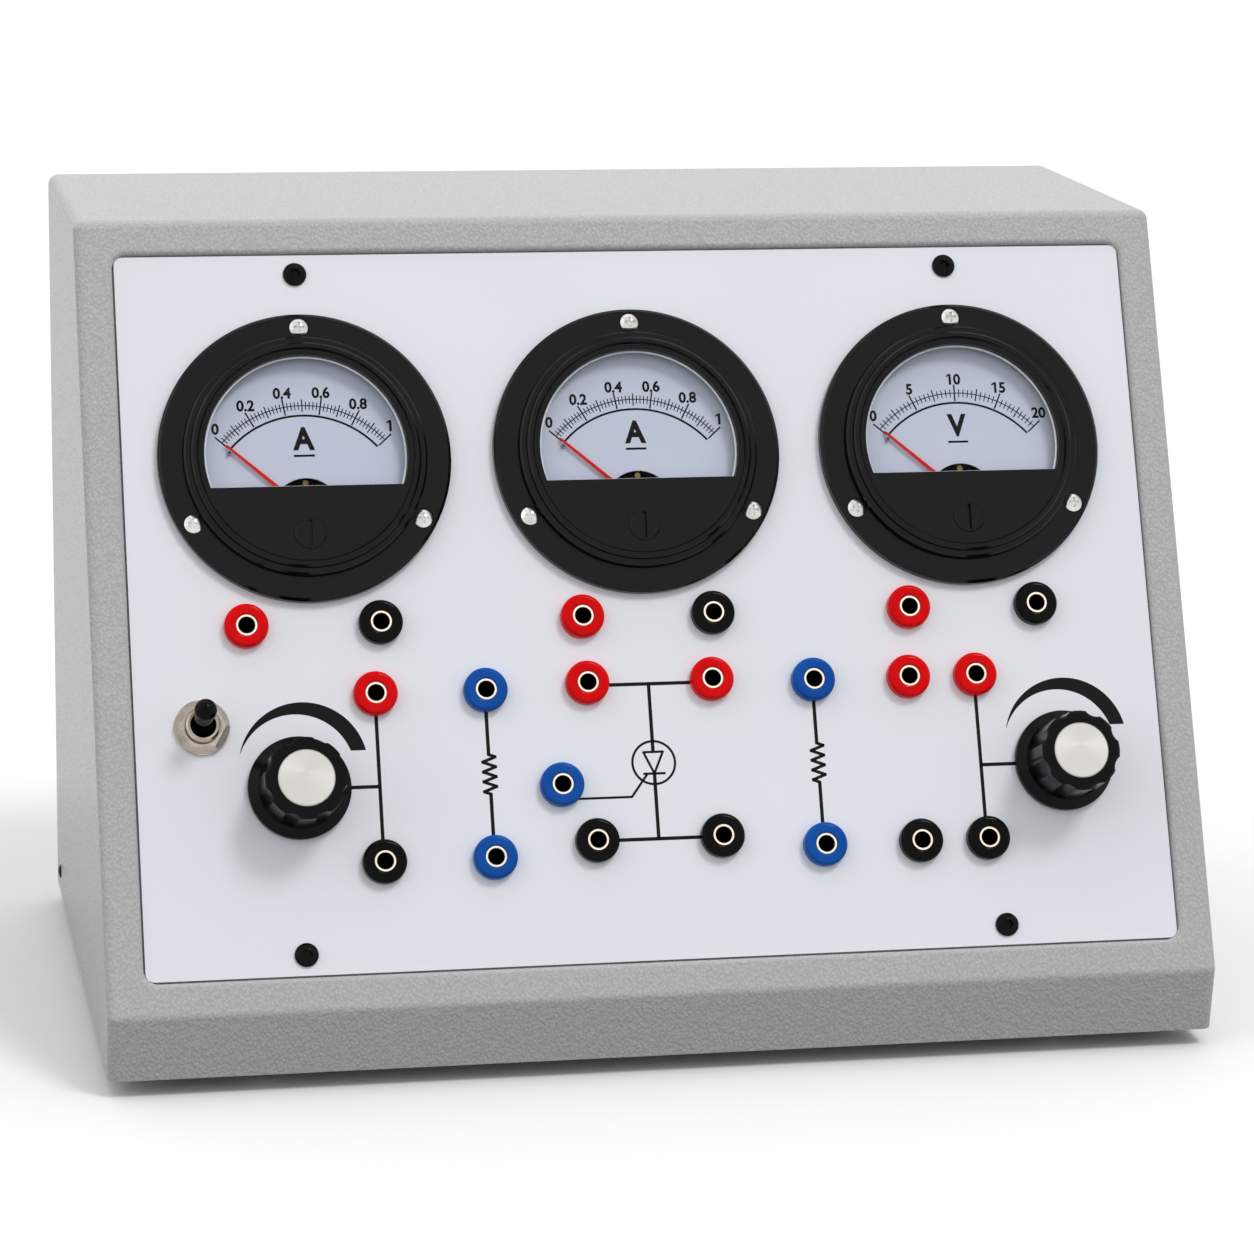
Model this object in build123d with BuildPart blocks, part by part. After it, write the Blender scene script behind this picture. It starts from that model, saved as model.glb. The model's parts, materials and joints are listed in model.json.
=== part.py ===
from build123d import *
import os
from math import cos, hypot, radians

# Thyristor characteristics trainer: a steel desk case with a sloping white panel that
# carries three round moving-coil meters, twenty-one 4 mm sockets, a toggle switch and
# two potentiometer knobs. Millimetres. X runs along the front, Y to the back, Z up.
# The origin is the middle of the whole footprint, where the feet stand.

# Steel case
case_width = 305.0
case_depth = 190.0
case_height = 216.0  # without the feet
foot_gap = 5.0  # table to the lower edge of the case
lip_height = 18.0
lip_undercut = 2.5
slope_run = 90.0  # how far the top front edge stands behind the lip
wall = 2.0
bend_radius = 3.0
rear_flange_width = 12.0
rear_cut_back = 2.0  # rear flange's end above the base plate's flange
lip_flange_width = 14.0
base_flange_height = 14.0
base_front_gap = 0.8
rear_plate = 1.6
rear_set_in = 2.0  # rear panel's face inside the case's rim
fit_gap = 0.3  # between sheet parts that slide into each other
on_plane = 0.01  # an edge this near a plane lies on it

# Panel opening and its ledge
frame_side = 10.0
opening_low = 9.0  # along the slope from the lip
opening_high = 9.5  # along the slope from the top front edge
opening_corner = 4.0
opening_roll = 1.4
ledge_width = 9.5
ledge_plate = 1.5
ledge_root = 3.0
panel_plate = 2.0
panel_recess = 1.0
panel_gap = 0.5
panel_corner = 2.3

# Panel layout: distances from the opening's edges, and from row to row
meter_shift = -1.0  # middle meter from the middle of the panel
meter_side_gap = 10.7  # outer meter's flange to the opening's side
meter_top_gap = 17.8  # meter's flange to the opening's top
pair_drop = 46.0  # meter's centre down to its pair of sockets
pair_half = 18.2
upper_drop = 19.5  # pair of sockets down to the upper row
lower_rise = 30.0  # opening's lower edge up to the lower row
anode_rise = 1.1  # upper row up to the anode sockets
cathode_rise = 3.5  # lower row up to the cathode sockets
divider_left_inset = 65.4
divider_right_inset = 52.5
resistor_left_inset = 95.4
resistor_right_inset = 98.5
supply_inset = 71.5
thyristor_left_u = -19.0
thyristor_right_u = 15.6
gate_shift = 8.7  # gate socket left of the thyristor's left sockets
gate_share = 0.36  # gate socket's height between cathode and anode
switch_inset = 18.4
switch_drop = 7.6  # upper row down to the switch
knob_left_inset = 43.6
knob_right_inset = 29.1
knob_drop = 2.15  # knob below the middle between the rows
panel_screw_edge = 5.5  # panel screw to the panel's upper or lower edge
panel_screw_left_shift = -0.3
panel_screw_right_shift = 3.6

# Screws
clear_hole = 1.7
tap_hole = 1.5
shank = 1.45
panel_head = 3.2
panel_head_height = 1.7
meter_head = 2.5
meter_head_height = 1.7
small_head = 2.9
small_head_height = 1.6
side_head = 2.0
side_head_height = 0.8
nut_bore_gap = 0.05
head_edge = 0.35  # straight side of a head, share of its height
recess_span = 1.2  # cross recess, share of the head's radius
recess_width = 0.3
recess_depth = 0.75  # share of the head's height
panel_socket_across = 2.6  # hexagon recess across its flats
head_seat_gap = 0.4
screw_tail = 2.0  # screw past what it is screwed into
meter_screw_tail = 4.0
meter_nut_across = 5.5
meter_nut_thickness = 2.4
side_screw_inset = 13.0
side_screw_rise = 7.0
lip_screw_inset = 9.5
lip_screw_side = 42.5
rear_top_screw_side = 52.5
rear_low_screw_side = 62.5
rear_low_screw_rise = 11.0
rear_side_screw_rise = 65.0
rear_side_screw_drop = 61.0

# Round meters, radii and heights above the panel's face
flange_radius = 40.0
flange_height = 3.0
flange_chamfer = 0.8
ring_radius = 33.4
ring_height = 5.2
ring_draft = 0.3
step_radius = 31.4
step_height = 6.4
step_draft = 0.2
rim_radius = 29.2
plate_top = 5.7
plate_thickness = 1.6
cover_bore = 30.6
edge_ease = 0.5
window_radius = 27.7
window_chord = 8.8  # below the meter's centre
glass_thickness = 1.2
glass_chord = 11.5
meter_screw_circle = 36.0
meter_can_radius = 32.2
meter_can_wall = 1.8
meter_can_depth = 42.0
meter_can_end = 2.4
can_hole_gap = 0.6
dial_radius = 29.0
dial_plate = 0.8
dial_rise = 0.9  # dial face above the panel's face
pivot_drop = 15.0  # pointer's axis below the meter's centre
scale_half_angle = 48.5
movement_hole = 9.5

# Moving coil
yoke_radius = 9.3
yoke_bore = 7.0
yoke_front = -6.0
yoke_back = -18.0
core_radius = 4.6
web_width = 2.5
web_overlap = 0.5
post_radius = 0.8
post_place = 8.25
post_drop = 0.6  # top of the post below the dial's face
coil_outer = 6.4
coil_inner = 5.1
coil_thickness = 2.4
coil_end = 0.7
coil_end_gap = 0.7
bridge_width = 3.0
bridge_thickness = 1.2
bridge_front = 2.5
pillar_radius = 1.0
pillar_place = 8.2
dial_bar_length = 30.0
dial_bar_width = 4.0
dial_bar_thickness = 2.7
staff_radius = 0.6
bearing_gap = 0.05
pointer_length = 28.6
pointer_root = 1.1
pointer_tip = 0.6
pointer_thickness = 0.5
pointer_height = 1.6
hub_radius = 1.6
tail_length = 7.0
tail_weight = 1.2
stop_pin_radius = 0.5
stop_pin_place = 26.4
stop_gap = 0.12

# Zero adjuster
adjuster_drop = 21.8
adjuster_radius = 4.3
adjuster_gap = 0.08
adjuster_proud = 0.5
adjuster_flange = 5.0
adjuster_flange_height = 0.8
slot_width = 0.9
slot_depth = 1.0
slot_land = 0.7
peg_offset = 1.2
peg_radius = 0.6
peg_length = 0.7

# Meter terminals
stud_radius = 2.0
stud_spread = 11.0
stud_length = 14.0
stud_head = 3.5
stud_head_height = 2.6
stud_nut_across = 7.0
stud_nut_thickness = 3.2

# Sockets for 4 mm plugs
socket_bore = 2.0
sleeve_radius = 2.85
sleeve_depth = 22.0
sleeve_tail = 4.0
tag_radius = 1.2
tag_length = 5.0
sleeve_sunk = 0.3
sleeve_mouth = 0.35  # bevel at the mouth of the bore
head_radius = 6.0
head_height = 3.2
head_round = 1.2  # radius of the rolled outer edge
head_mouth_round = 0.6  # radius of the rolled edge round the sleeve
collar_radius = 4.0
collar_gap = 0.1
washer_thickness = 1.0
socket_nut_across = 8.0
socket_nut_thickness = 2.5

# Toggle switch
bush_radius = 4.6
bush_bore = 3.3
bush_proud = 5.0
bush_bevel = 0.5
bush_mouth = 0.2
switch_washer_radius = 7.5
switch_washer = 0.8
switch_nut_across = 14.4
switch_nut_top_across = 11.0
switch_nut_side = 7.4
switch_nut_mouth = (0.45, 0.9)  # counterbore round the bush: gap, depth
switch_nut = 2.2
switch_plate = 1.0
switch_width = 12.6
switch_length = 25.0
switch_depth = 14.0
switch_cavity = (5.0, 13.0, 8.5)
switch_pivot = 1.5
switch_pin_radius = 0.8
switch_pin_inset = 0.4
lever_throw = 12.0  # degrees each side of upright
lever_neck = 2.1
lever_neck_top = 4.5
lever_waist = 2.5
lever_waist_low = 6.0
lever_swell_low = 5.2  # start of the ball's swell below the tip
lever_swell_high = 3.7
lever_tip = 3.05
lever_length = 15.0
lever_tail = 8.0
lever_tail_radius = 1.5
lever_shoulder = (2.5, 1.5)  # below the pivot
lug = (0.8, 4.5, 7.0)

# Potentiometers and knobs
shaft_radius = 3.0
shaft_gap = 0.05
pot_bush_radius = 4.75
pot_bush_proud = 6.0
pot_shoulder_radius = 8.0
pot_shoulder = 1.2
pot_radius = 12.5
pot_depth = 12.0
pot_wall = 1.6
pot_lug = (2.4, 9.0, 0.8)
pot_lug_pitch = 5.0
pot_lug_overlap = 1.0
wiper_radius = 8.5
wiper_plate = 1.4
wiper_gap = 2.0
pot_washer = 0.6
pot_nut_across = 14.0
pot_nut = 2.0
skirt_radius = 13.9
skirt_edge = 1.6
skirt_bevel = (0.4, 0.3)
skirt_lift = 0.6
grip_foot = 4.3
grip_radius = 11.4
grip_top_radius = 11.0
knob_height = 18.6
knob_lobes = 8
scallop_radius = 4.0
scallop_depth = 0.8
crown_bevel = 0.45
knob_recess = 9.5
knob_recess_top = 7.2
knob_bore_gap = 0.02
shaft_top = 15.0
cap_radius = 7.6
cap_plate = 1.4
cap_proud = 0.3
cap_bevel = 0.3

# Feet
foot_radius = 7.5
foot_taper = 0.5
foot_side = 15.5
foot_front = 24.0
foot_back = 20.0
foot_recess = 3.8
foot_recess_depth = 3.5

# Rear fittings
gland_inset = 32.5
gland_rise = 31.0
fuse_rise = 61.0
rear_fitting_reach = 10.0
gland_bore = 3.6
gland_thread = 6.0
gland_flange = 9.0
gland_flange_height = 4.0
gland_bevel = (1.5, 0.5)
gland_depth = 14.0
fuse_body_radius = 6.0
fuse_body_depth = 34.0
fuse_flange = 8.5
fuse_flange_height = 2.0
fuse_bore = 4.6
fuse_cap_radius = 7.0
fuse_sleeve = 4.5
fuse_sleeve_length = 8.0
fuse_slot = (1.4, 1.2)
fuse_floor = 2.0
fuse_link_radius = 2.5
fuse_link_length = 20.0
fuse_link_set_in = 4.0
vent_slot = (3.0, 40.0)
vent_pitch = 9.0
vent_count = 11
vent_side = 107.5
vent_drop = 81.0

# Inside the case
core_width = 57.0
core_height = 47.5
core_stack = 24.0
core_limb = 19.0
winding_window = 9.5
winding_height = 28.5
winding_bulge = 8.0
winding_corner = 3.0
strap = (80.0, 16.0, 1.5)
transformer_side = 68.5
transformer_back = 49.0
board_size = (130.0, 90.0, 1.6)
board_side = 107.5
board_back = 66.0
board_rise = 8.0
standoff_radius = 3.0
standoff_inset = 5.0
capacitor_radius = 8.0
capacitor_height = 26.0
capacitor_count = 3
capacitor_pitch = 20.0
capacitor_inset = (20.0, 20.0)
sink = (34.0, 14.0, 30.0)
sink_fin = 2.0
sink_fins = 5
sink_inset = (37.0, 23.0)
sink_pitch = 44.0
device = (10.0, 4.4, 15.0)
device_lift = 4.0
device_leg = (0.9, 0.6, 4.2)
device_leg_pitch = 2.5

# Places that follow from the sizes
rear_pocket = rear_set_in + rear_plate
rear_proud = rear_fitting_reach - rear_set_in
front_y = -(case_depth + rear_proud) / 2
back_y = front_y + case_depth
bottom_z = foot_gap
lip_z = bottom_z + lip_height
top_z = bottom_z + case_height
slope_rise = case_height - lip_height
slope_length = hypot(slope_run, slope_rise)
opening_width = case_width - 2 * frame_side
opening_height = slope_length - opening_low - opening_high
opening_middle = opening_low + opening_height / 2
opening_top = opening_low + opening_height
opening_side = opening_width / 2
panel_low = opening_low + panel_gap
panel_top = opening_top - panel_gap
rear_face_y = back_y - rear_set_in
rear_inner_y = back_y - rear_pocket
base_z = bottom_z + wall
base_top = base_z + rear_plate
base_half = case_width / 2 - wall - fit_gap
base_front = front_y + lip_undercut + wall + base_front_gap
side_screw_y = back_y - side_screw_inset
side_screw_z = bottom_z + side_screw_rise
lip_screw_y = front_y + lip_undercut + lip_screw_inset
lip_screw_half = case_width / 2 - lip_screw_side

# Panel places, across (u) and up the slope (v) from the middle of the lip's top edge
meter_pitch = opening_side - meter_side_gap - flange_radius
meter_row = opening_top - meter_top_gap - flange_radius
pair_row = meter_row - pair_drop
upper_row = pair_row - upper_drop
lower_row = opening_low + lower_rise
anode_row = upper_row + anode_rise
cathode_row = lower_row + cathode_rise
divider_left_u = divider_left_inset - opening_side
divider_right_u = opening_side - divider_right_inset
resistor_left_u = resistor_left_inset - opening_side
resistor_right_u = opening_side - resistor_right_inset
supply_u = opening_side - supply_inset
gate_socket = (
    thyristor_left_u - gate_shift,
    cathode_row + gate_share * (anode_row - cathode_row),
)
switch_place = (switch_inset - opening_side, upper_row - switch_drop)
knob_row = (upper_row + lower_row) / 2 - knob_drop
knob_left_u = knob_left_inset - opening_side
knob_right_u = opening_side - knob_right_inset
meter_us = [meter_shift + meter_pitch * step for step in (-1, 0, 1)]
panel_screw_places = [
    (meter_us[0], panel_top - panel_screw_edge),
    (meter_us[2], panel_top - panel_screw_edge),
    (knob_left_u + panel_screw_left_shift, panel_low + panel_screw_edge),
    (divider_right_u + panel_screw_right_shift, panel_low + panel_screw_edge),
]
red_sockets = [(u - pair_half, pair_row) for u in meter_us] + [
    (divider_left_u, upper_row),
    (thyristor_left_u, anode_row),
    (thyristor_right_u, anode_row),
    (supply_u, upper_row),
    (divider_right_u, upper_row),
]
black_sockets = [(u + pair_half, pair_row) for u in meter_us] + [
    (divider_left_u, lower_row),
    (thyristor_left_u, cathode_row),
    (thyristor_right_u, cathode_row),
    (supply_u, lower_row),
    (divider_right_u, lower_row),
]
blue_sockets = [
    (resistor_left_u, upper_row),
    (resistor_left_u, lower_row),
    (resistor_right_u, upper_row),
    (resistor_right_u, lower_row),
    gate_socket,
]
all_sockets = red_sockets + black_sockets + blue_sockets
foot_places = [
    (side * (case_width / 2 - foot_side), y)
    for side in (-1, 1)
    for y in (front_y + lip_undercut + foot_front, back_y - foot_back)
]
rear_top_screw_z = top_z - wall - rear_flange_width / 2
rear_side_screw_x = case_width / 2 - wall - rear_flange_width / 2
rear_low_screw_z = bottom_z + rear_low_screw_rise
rear_side_screw_zs = (bottom_z + rear_side_screw_rise, top_z - rear_side_screw_drop)
rear_screw_places = (
    [(side * (case_width / 2 - rear_top_screw_side), rear_top_screw_z) for side in (-1, 1)]
    + [(side * rear_side_screw_x, z) for side in (-1, 1) for z in rear_side_screw_zs]
    + [(side * (case_width / 2 - rear_low_screw_side), rear_low_screw_z) for side in (-1, 1)]
)
gland_place = (gland_inset - case_width / 2, bottom_z + gland_rise)
fuse_place = (gland_inset - case_width / 2, bottom_z + fuse_rise)
vent_place = (case_width / 2 - vent_side, top_z - vent_drop)
transformer_place = (transformer_side - case_width / 2, back_y - transformer_back)
board_place = (case_width / 2 - board_side, back_y - board_back)

slope_plane = Plane(
    origin=(0, front_y, lip_z), x_dir=(1, 0, 0), z_dir=(0, -slope_rise, slope_run)
)
panel_face = slope_plane.offset(-panel_recess)
rear_face = Plane(origin=(0, rear_face_y, 0), x_dir=(-1, 0, 0), z_dir=(0, 1, 0))


def shifted(plane, place, turn=(0, 0, 0)):
    """The plane moved to a place in its own coordinates and then turned about its axes."""
    return Plane(plane.location * Location(place, turn))


def seat(u, v, height=0.0):
    """Plane on the panel's face at (u, v), or height above it, facing out."""
    return shifted(panel_face, (u, v, height))


def rear_seat(x, z):
    """Plane on the rear panel's outer face, facing back."""
    return Plane(origin=(x, rear_face_y, z), x_dir=(-1, 0, 0), z_dir=(0, 1, 0))


def group(piece, seats):
    """The same piece once on each seat, as one part of separate solids."""
    with BuildPart() as copies:
        with Locations(*seats):
            add(piece.part)
    return copies


def turned(outline):
    """A piece turned about Z from its half section, given as (radius, height)."""
    with BuildPart() as body:
        with BuildSketch(Plane.XZ):
            with BuildLine():
                Polyline(*outline, close=True)
            make_face()
        revolve(axis=Axis.Z)
    return body


def hexagon(across_flats):
    """Corner radius of a hexagon that measures this much across its flats."""
    return across_flats / 2 / cos(radians(30))


def domed_screw(head, height, length, socket=0.0):
    """Dome-headed screw, its head's lower face at height 0, with a cross or hexagon recess."""
    edge = head_edge * height
    rise = height - edge
    dome = (head**2 + rise**2) / (2 * rise)
    with BuildPart() as screw:
        with BuildSketch(Plane.XZ):
            with BuildLine():
                Polyline(
                    (0, height), (0, -length), (shank, -length), (shank, 0), (head, 0), (head, edge)
                )
                RadiusArc((head, edge), (0, height), -dome)
            make_face()
        revolve(axis=Axis.Z)
        with BuildSketch(Plane.XY.offset(height)):
            if socket:
                RegularPolygon(radius=hexagon(socket), side_count=6)
            else:
                Rectangle(recess_span * head, recess_width * head)
                Rectangle(recess_width * head, recess_span * head)
        extrude(amount=-recess_depth * height, mode=Mode.SUBTRACT)
    return screw


def hex_nut(across_flats, thickness, bore, height=0.0):
    """A hexagon nut whose lower face is at the given height."""
    with BuildPart() as nut:
        with BuildSketch(Plane.XY.offset(height)):
            RegularPolygon(radius=hexagon(across_flats), side_count=6)
            Circle(bore, mode=Mode.SUBTRACT)
        extrude(amount=thickness)
    return nut


# Case shell: top, sides, front frame, lip and the return flanges in one folded sheet
def case_outline(back):
    """Side profile of the case up to a given back."""
    return [
        (front_y + lip_undercut, bottom_z),
        (front_y, lip_z),
        (front_y + slope_run, top_z),
        (back, top_z),
        (back, bottom_z),
    ]


with BuildPart() as case_shell:
    with BuildSketch(Plane.YZ):
        with BuildLine():
            Polyline(*case_outline(back_y), close=True)
        make_face()
    extrude(amount=case_width / 2, both=True)
    folded = case_shell.edges().filter_by(
        lambda edge: edge.center().Z > bottom_z + wall / 2
        and edge.center().Y < back_y - wall / 2
    )
    fillet(folded, radius=bend_radius)
    with BuildSketch(Plane.YZ):
        with BuildLine():
            Polyline(*case_outline(back_y - rear_pocket), close=True)
        make_face()
        offset(amount=-wall, kind=Kind.INTERSECTION, mode=Mode.REPLACE)
    extrude(amount=case_width / 2 - wall, both=True, mode=Mode.SUBTRACT)
    # the underside is open behind the lip's return flange
    floor_front = front_y + lip_undercut + lip_flange_width
    with BuildSketch(Plane.XY.offset(bottom_z)):
        with Locations((0, floor_front)):
            Rectangle(
                case_width - 2 * wall, back_y - floor_front, align=(Align.CENTER, Align.MIN)
            )
    extrude(amount=wall, mode=Mode.SUBTRACT)
    # the back has a pocket for the rear panel and an opening inside the return flanges
    with BuildSketch(Plane.XZ.offset(-back_y)):
        with Locations((0, bottom_z)):
            Rectangle(
                case_width - 2 * wall, case_height - wall, align=(Align.CENTER, Align.MIN)
            )
    extrude(amount=rear_pocket, mode=Mode.SUBTRACT)
    with BuildSketch(Plane.XZ.offset(-rear_inner_y)):
        with Locations((0, bottom_z)):
            Rectangle(
                case_width - 2 * (wall + rear_flange_width),
                case_height - wall - rear_flange_width,
                align=(Align.CENTER, Align.MIN),
            )
            Rectangle(
                case_width - 2 * wall,
                wall + base_flange_height + rear_cut_back,
                align=(Align.CENTER, Align.MIN),
            )
    extrude(amount=wall, mode=Mode.SUBTRACT)
    # the ledge that carries the panel, set back inside the front frame
    with BuildSketch(slope_plane.offset(-wall)):
        with Locations((0, opening_middle)):
            Rectangle(opening_width + 2 * ledge_root, opening_height + 2 * ledge_root)
    extrude(amount=-(panel_recess + panel_plate + ledge_plate - wall))
    with BuildSketch(slope_plane):
        with Locations((0, opening_middle)):
            RectangleRounded(opening_width, opening_height, opening_corner)
    extrude(amount=-(panel_recess + panel_plate), mode=Mode.SUBTRACT)
    with BuildSketch(slope_plane):
        with Locations((0, opening_middle)):
            RectangleRounded(
                opening_width - 2 * ledge_width, opening_height - 2 * ledge_width, panel_corner
            )
    extrude(amount=-(panel_recess + panel_plate + 2 * ledge_plate), mode=Mode.SUBTRACT)
    rolled = case_shell.edges().filter_by(
        lambda edge: abs(slope_plane.to_local_coords(edge.center()).Z) < on_plane
        and abs(edge.center().X) < opening_side + on_plane
        and abs(slope_plane.to_local_coords(edge.center()).Y - opening_middle)
        < opening_height / 2 + on_plane
    )
    fillet(rolled, radius=opening_roll)
    with Locations(*[seat(u, v, -panel_plate) for u, v in panel_screw_places]):
        Hole(tap_hole, depth=2 * ledge_plate)
    with Locations(
        Plane(origin=(-case_width / 2, side_screw_y, side_screw_z), z_dir=(-1, 0, 0)),
        Plane(origin=(case_width / 2, side_screw_y, side_screw_z), z_dir=(1, 0, 0)),
    ):
        Hole(clear_hole, depth=2 * wall)
    with Locations(
        *[
            Plane(origin=(x, lip_screw_y, bottom_z), z_dir=(0, 0, -1))
            for x in (-lip_screw_half, lip_screw_half)
        ]
    ):
        Hole(clear_hole, depth=wall)
    with Locations(
        *[rear_seat(x, z) for x, z in rear_screw_places if z > rear_low_screw_z]
    ):
        Hole(tap_hole, depth=rear_plate + wall)


# Base plate: floor of the case with its edges turned up at the sides and the back
base_length = rear_inner_y - base_front
with BuildPart() as base_plate:
    with BuildSketch(Plane.XY.offset(base_z)):
        with Locations((0, base_front)):
            Rectangle(2 * base_half, base_length, align=(Align.CENTER, Align.MIN))
    extrude(amount=base_flange_height)
    with BuildSketch(Plane.XY.offset(base_top)):
        with Locations((0, base_front)):
            Rectangle(
                2 * (base_half - rear_plate),
                base_length - rear_plate,
                align=(Align.CENTER, Align.MIN),
            )
    extrude(amount=base_flange_height, mode=Mode.SUBTRACT)
    # standoffs pressed into the plate for the circuit board
    with BuildSketch(Plane.XY.offset(base_top)):
        with Locations(board_place):
            with GridLocations(
                board_size[0] - 2 * standoff_inset, board_size[1] - 2 * standoff_inset, 2, 2
            ):
                Circle(standoff_radius)
    extrude(amount=board_rise)
    with Locations(*[Plane(origin=(x, y, base_top)) for x, y in foot_places]):
        Hole(tap_hole, depth=rear_plate)
    with Locations(
        *[Plane(origin=(x, lip_screw_y, base_top)) for x in (-lip_screw_half, lip_screw_half)]
    ):
        Hole(tap_hole, depth=rear_plate)
    with Locations(
        Plane(origin=(-base_half, side_screw_y, side_screw_z), z_dir=(-1, 0, 0)),
        Plane(origin=(base_half, side_screw_y, side_screw_z), z_dir=(1, 0, 0)),
    ):
        Hole(tap_hole, depth=rear_plate)
    with Locations(
        *[rear_seat(x, z) for x, z in rear_screw_places if z == rear_low_screw_z]
    ):
        Hole(tap_hole, depth=2 * rear_plate)


# Rear panel with its fittings' holes and ventilation slots
with BuildPart() as rear_panel:
    rear_low = bottom_z + fit_gap
    rear_high = top_z - wall - fit_gap
    with BuildSketch(rear_face):
        with Locations((0, rear_low)):
            Rectangle(2 * base_half, rear_high - rear_low, align=(Align.CENTER, Align.MIN))
    extrude(amount=-rear_plate)
    with BuildSketch(rear_face):
        with Locations((-vent_place[0], vent_place[1])):
            with GridLocations(vent_pitch, 1, vent_count, 1):
                SlotOverall(vent_slot[1], vent_slot[0], rotation=90)
    extrude(amount=-rear_plate, mode=Mode.SUBTRACT)
    with Locations(rear_seat(*gland_place)):
        Hole(gland_thread + collar_gap, depth=rear_plate)
    with Locations(rear_seat(*fuse_place)):
        Hole(fuse_body_radius + collar_gap, depth=rear_plate)
    with Locations(*[rear_seat(x, z) for x, z in rear_screw_places]):
        Hole(clear_hole, depth=rear_plate)


# Feet, and the screws of the case
foot = turned(
    [
        (clear_hole, base_z),
        (foot_radius, base_z),
        (foot_radius - foot_taper, edge_ease),
        (foot_radius - foot_taper - edge_ease, 0),
        (foot_recess, 0),
        (foot_recess, foot_recess_depth),
        (clear_hole, foot_recess_depth),
    ]
)
feet = group(foot, [Plane(origin=(x, y, 0)) for x, y in foot_places])

foot_screw = domed_screw(
    small_head, small_head_height, base_top + screw_tail - foot_recess_depth
)
lip_screw = domed_screw(small_head, small_head_height, rear_plate + wall + screw_tail)
with BuildPart() as base_screws:
    with Locations(
        *[Plane(origin=(x, y, foot_recess_depth), z_dir=(0, 0, -1)) for x, y in foot_places]
    ):
        add(foot_screw.part)
    with Locations(
        *[
            Plane(origin=(x, lip_screw_y, bottom_z), z_dir=(0, 0, -1))
            for x in (-lip_screw_half, lip_screw_half)
        ]
    ):
        add(lip_screw.part)

side_screws = group(
    domed_screw(side_head, side_head_height, wall + fit_gap + rear_plate + screw_tail),
    [
        Plane(origin=(side * case_width / 2, side_screw_y, side_screw_z), z_dir=(side, 0, 0))
        for side in (-1, 1)
    ],
)
rear_screws = group(
    domed_screw(small_head, small_head_height, rear_plate + wall + screw_tail),
    [rear_seat(x, z) for x, z in rear_screw_places],
)
panel_screws = group(
    domed_screw(
        panel_head,
        panel_head_height,
        panel_plate + ledge_plate + screw_tail,
        panel_socket_across,
    ),
    [seat(u, v) for u, v in panel_screw_places],
)


# White panel with every hole that its fittings need
meter_seats = [seat(u, meter_row) for u in meter_us]
pot_us = [knob_left_u, knob_right_u]
with BuildPart() as front_panel:
    with BuildSketch(panel_face):
        with Locations((0, opening_middle)):
            RectangleRounded(
                opening_width - 2 * panel_gap, opening_height - 2 * panel_gap, panel_corner
            )
        with Locations(*[(u, meter_row) for u in meter_us]):
            Circle(meter_can_radius + can_hole_gap, mode=Mode.SUBTRACT)
            with PolarLocations(meter_screw_circle, 3, start_angle=90):
                Circle(clear_hole, mode=Mode.SUBTRACT)
        with Locations(*all_sockets):
            Circle(collar_radius + collar_gap, mode=Mode.SUBTRACT)
        with Locations(switch_place):
            Circle(bush_radius + collar_gap, mode=Mode.SUBTRACT)
        with Locations(*[(u, knob_row) for u in pot_us]):
            Circle(pot_bush_radius + collar_gap, mode=Mode.SUBTRACT)
        with Locations(*panel_screw_places):
            Circle(clear_hole, mode=Mode.SUBTRACT)
    extrude(amount=-panel_plate)


# Meter: black moulded cover with its flange, raised ring and half-round window
meter_cover = turned(
    [
        (cover_bore, 0),
        (flange_radius, 0),
        (flange_radius, flange_height - flange_chamfer),
        (flange_radius - flange_chamfer, flange_height),
        (ring_radius, flange_height),
        (ring_radius - ring_draft, ring_height - edge_ease),
        (ring_radius - ring_draft - edge_ease, ring_height),
        (step_radius, ring_height),
        (step_radius - step_draft, step_height - edge_ease),
        (step_radius - step_draft - edge_ease, step_height),
        (rim_radius + edge_ease, step_height),
        (rim_radius, plate_top),
        (0, plate_top),
        (0, plate_top - plate_thickness),
        (cover_bore, plate_top - plate_thickness),
    ]
)
with BuildPart() as meter_front:
    add(meter_cover.part)
    with BuildSketch(Plane.XY.offset(plate_top)):
        Circle(window_radius)
        with Locations((0, -window_chord)):
            Rectangle(
                2 * window_radius,
                window_radius,
                align=(Align.CENTER, Align.MAX),
                mode=Mode.SUBTRACT,
            )
    extrude(amount=-plate_thickness, mode=Mode.SUBTRACT)
    with Locations((0, -adjuster_drop, plate_top)):
        Hole(adjuster_radius + adjuster_gap, depth=plate_thickness)
    with Locations((0, 0, flange_height)):
        with PolarLocations(meter_screw_circle, 3, start_angle=90):
            CounterBoreHole(
                clear_hole, meter_head + head_seat_gap, edge_ease, depth=flange_height
            )

glass_back = plate_top - plate_thickness - glass_thickness
with BuildPart() as meter_glass:
    with BuildSketch(Plane.XY.offset(glass_back)):
        Circle(cover_bore - fit_gap)
        with Locations((0, -glass_chord)):
            Rectangle(
                2 * cover_bore, cover_bore, align=(Align.CENTER, Align.MAX), mode=Mode.SUBTRACT
            )
    extrude(amount=glass_thickness)

# Meter: rear can with two terminal holes
can_end_z = -meter_can_depth
meter_cup = turned(
    [
        (meter_can_radius - meter_can_wall, 0),
        (meter_can_radius, 0),
        (meter_can_radius, can_end_z + meter_can_wall),
        (meter_can_radius - meter_can_wall, can_end_z),
        (0, can_end_z),
        (0, can_end_z + meter_can_end),
        (meter_can_radius - meter_can_wall, can_end_z + meter_can_end),
    ]
)
stud_inner = can_end_z + meter_can_end
with BuildPart() as meter_can:
    add(meter_cup.part)
    with Locations((-stud_spread, 0, stud_inner), (stud_spread, 0, stud_inner)):
        Hole(stud_radius + collar_gap, depth=meter_can_end)

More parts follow.
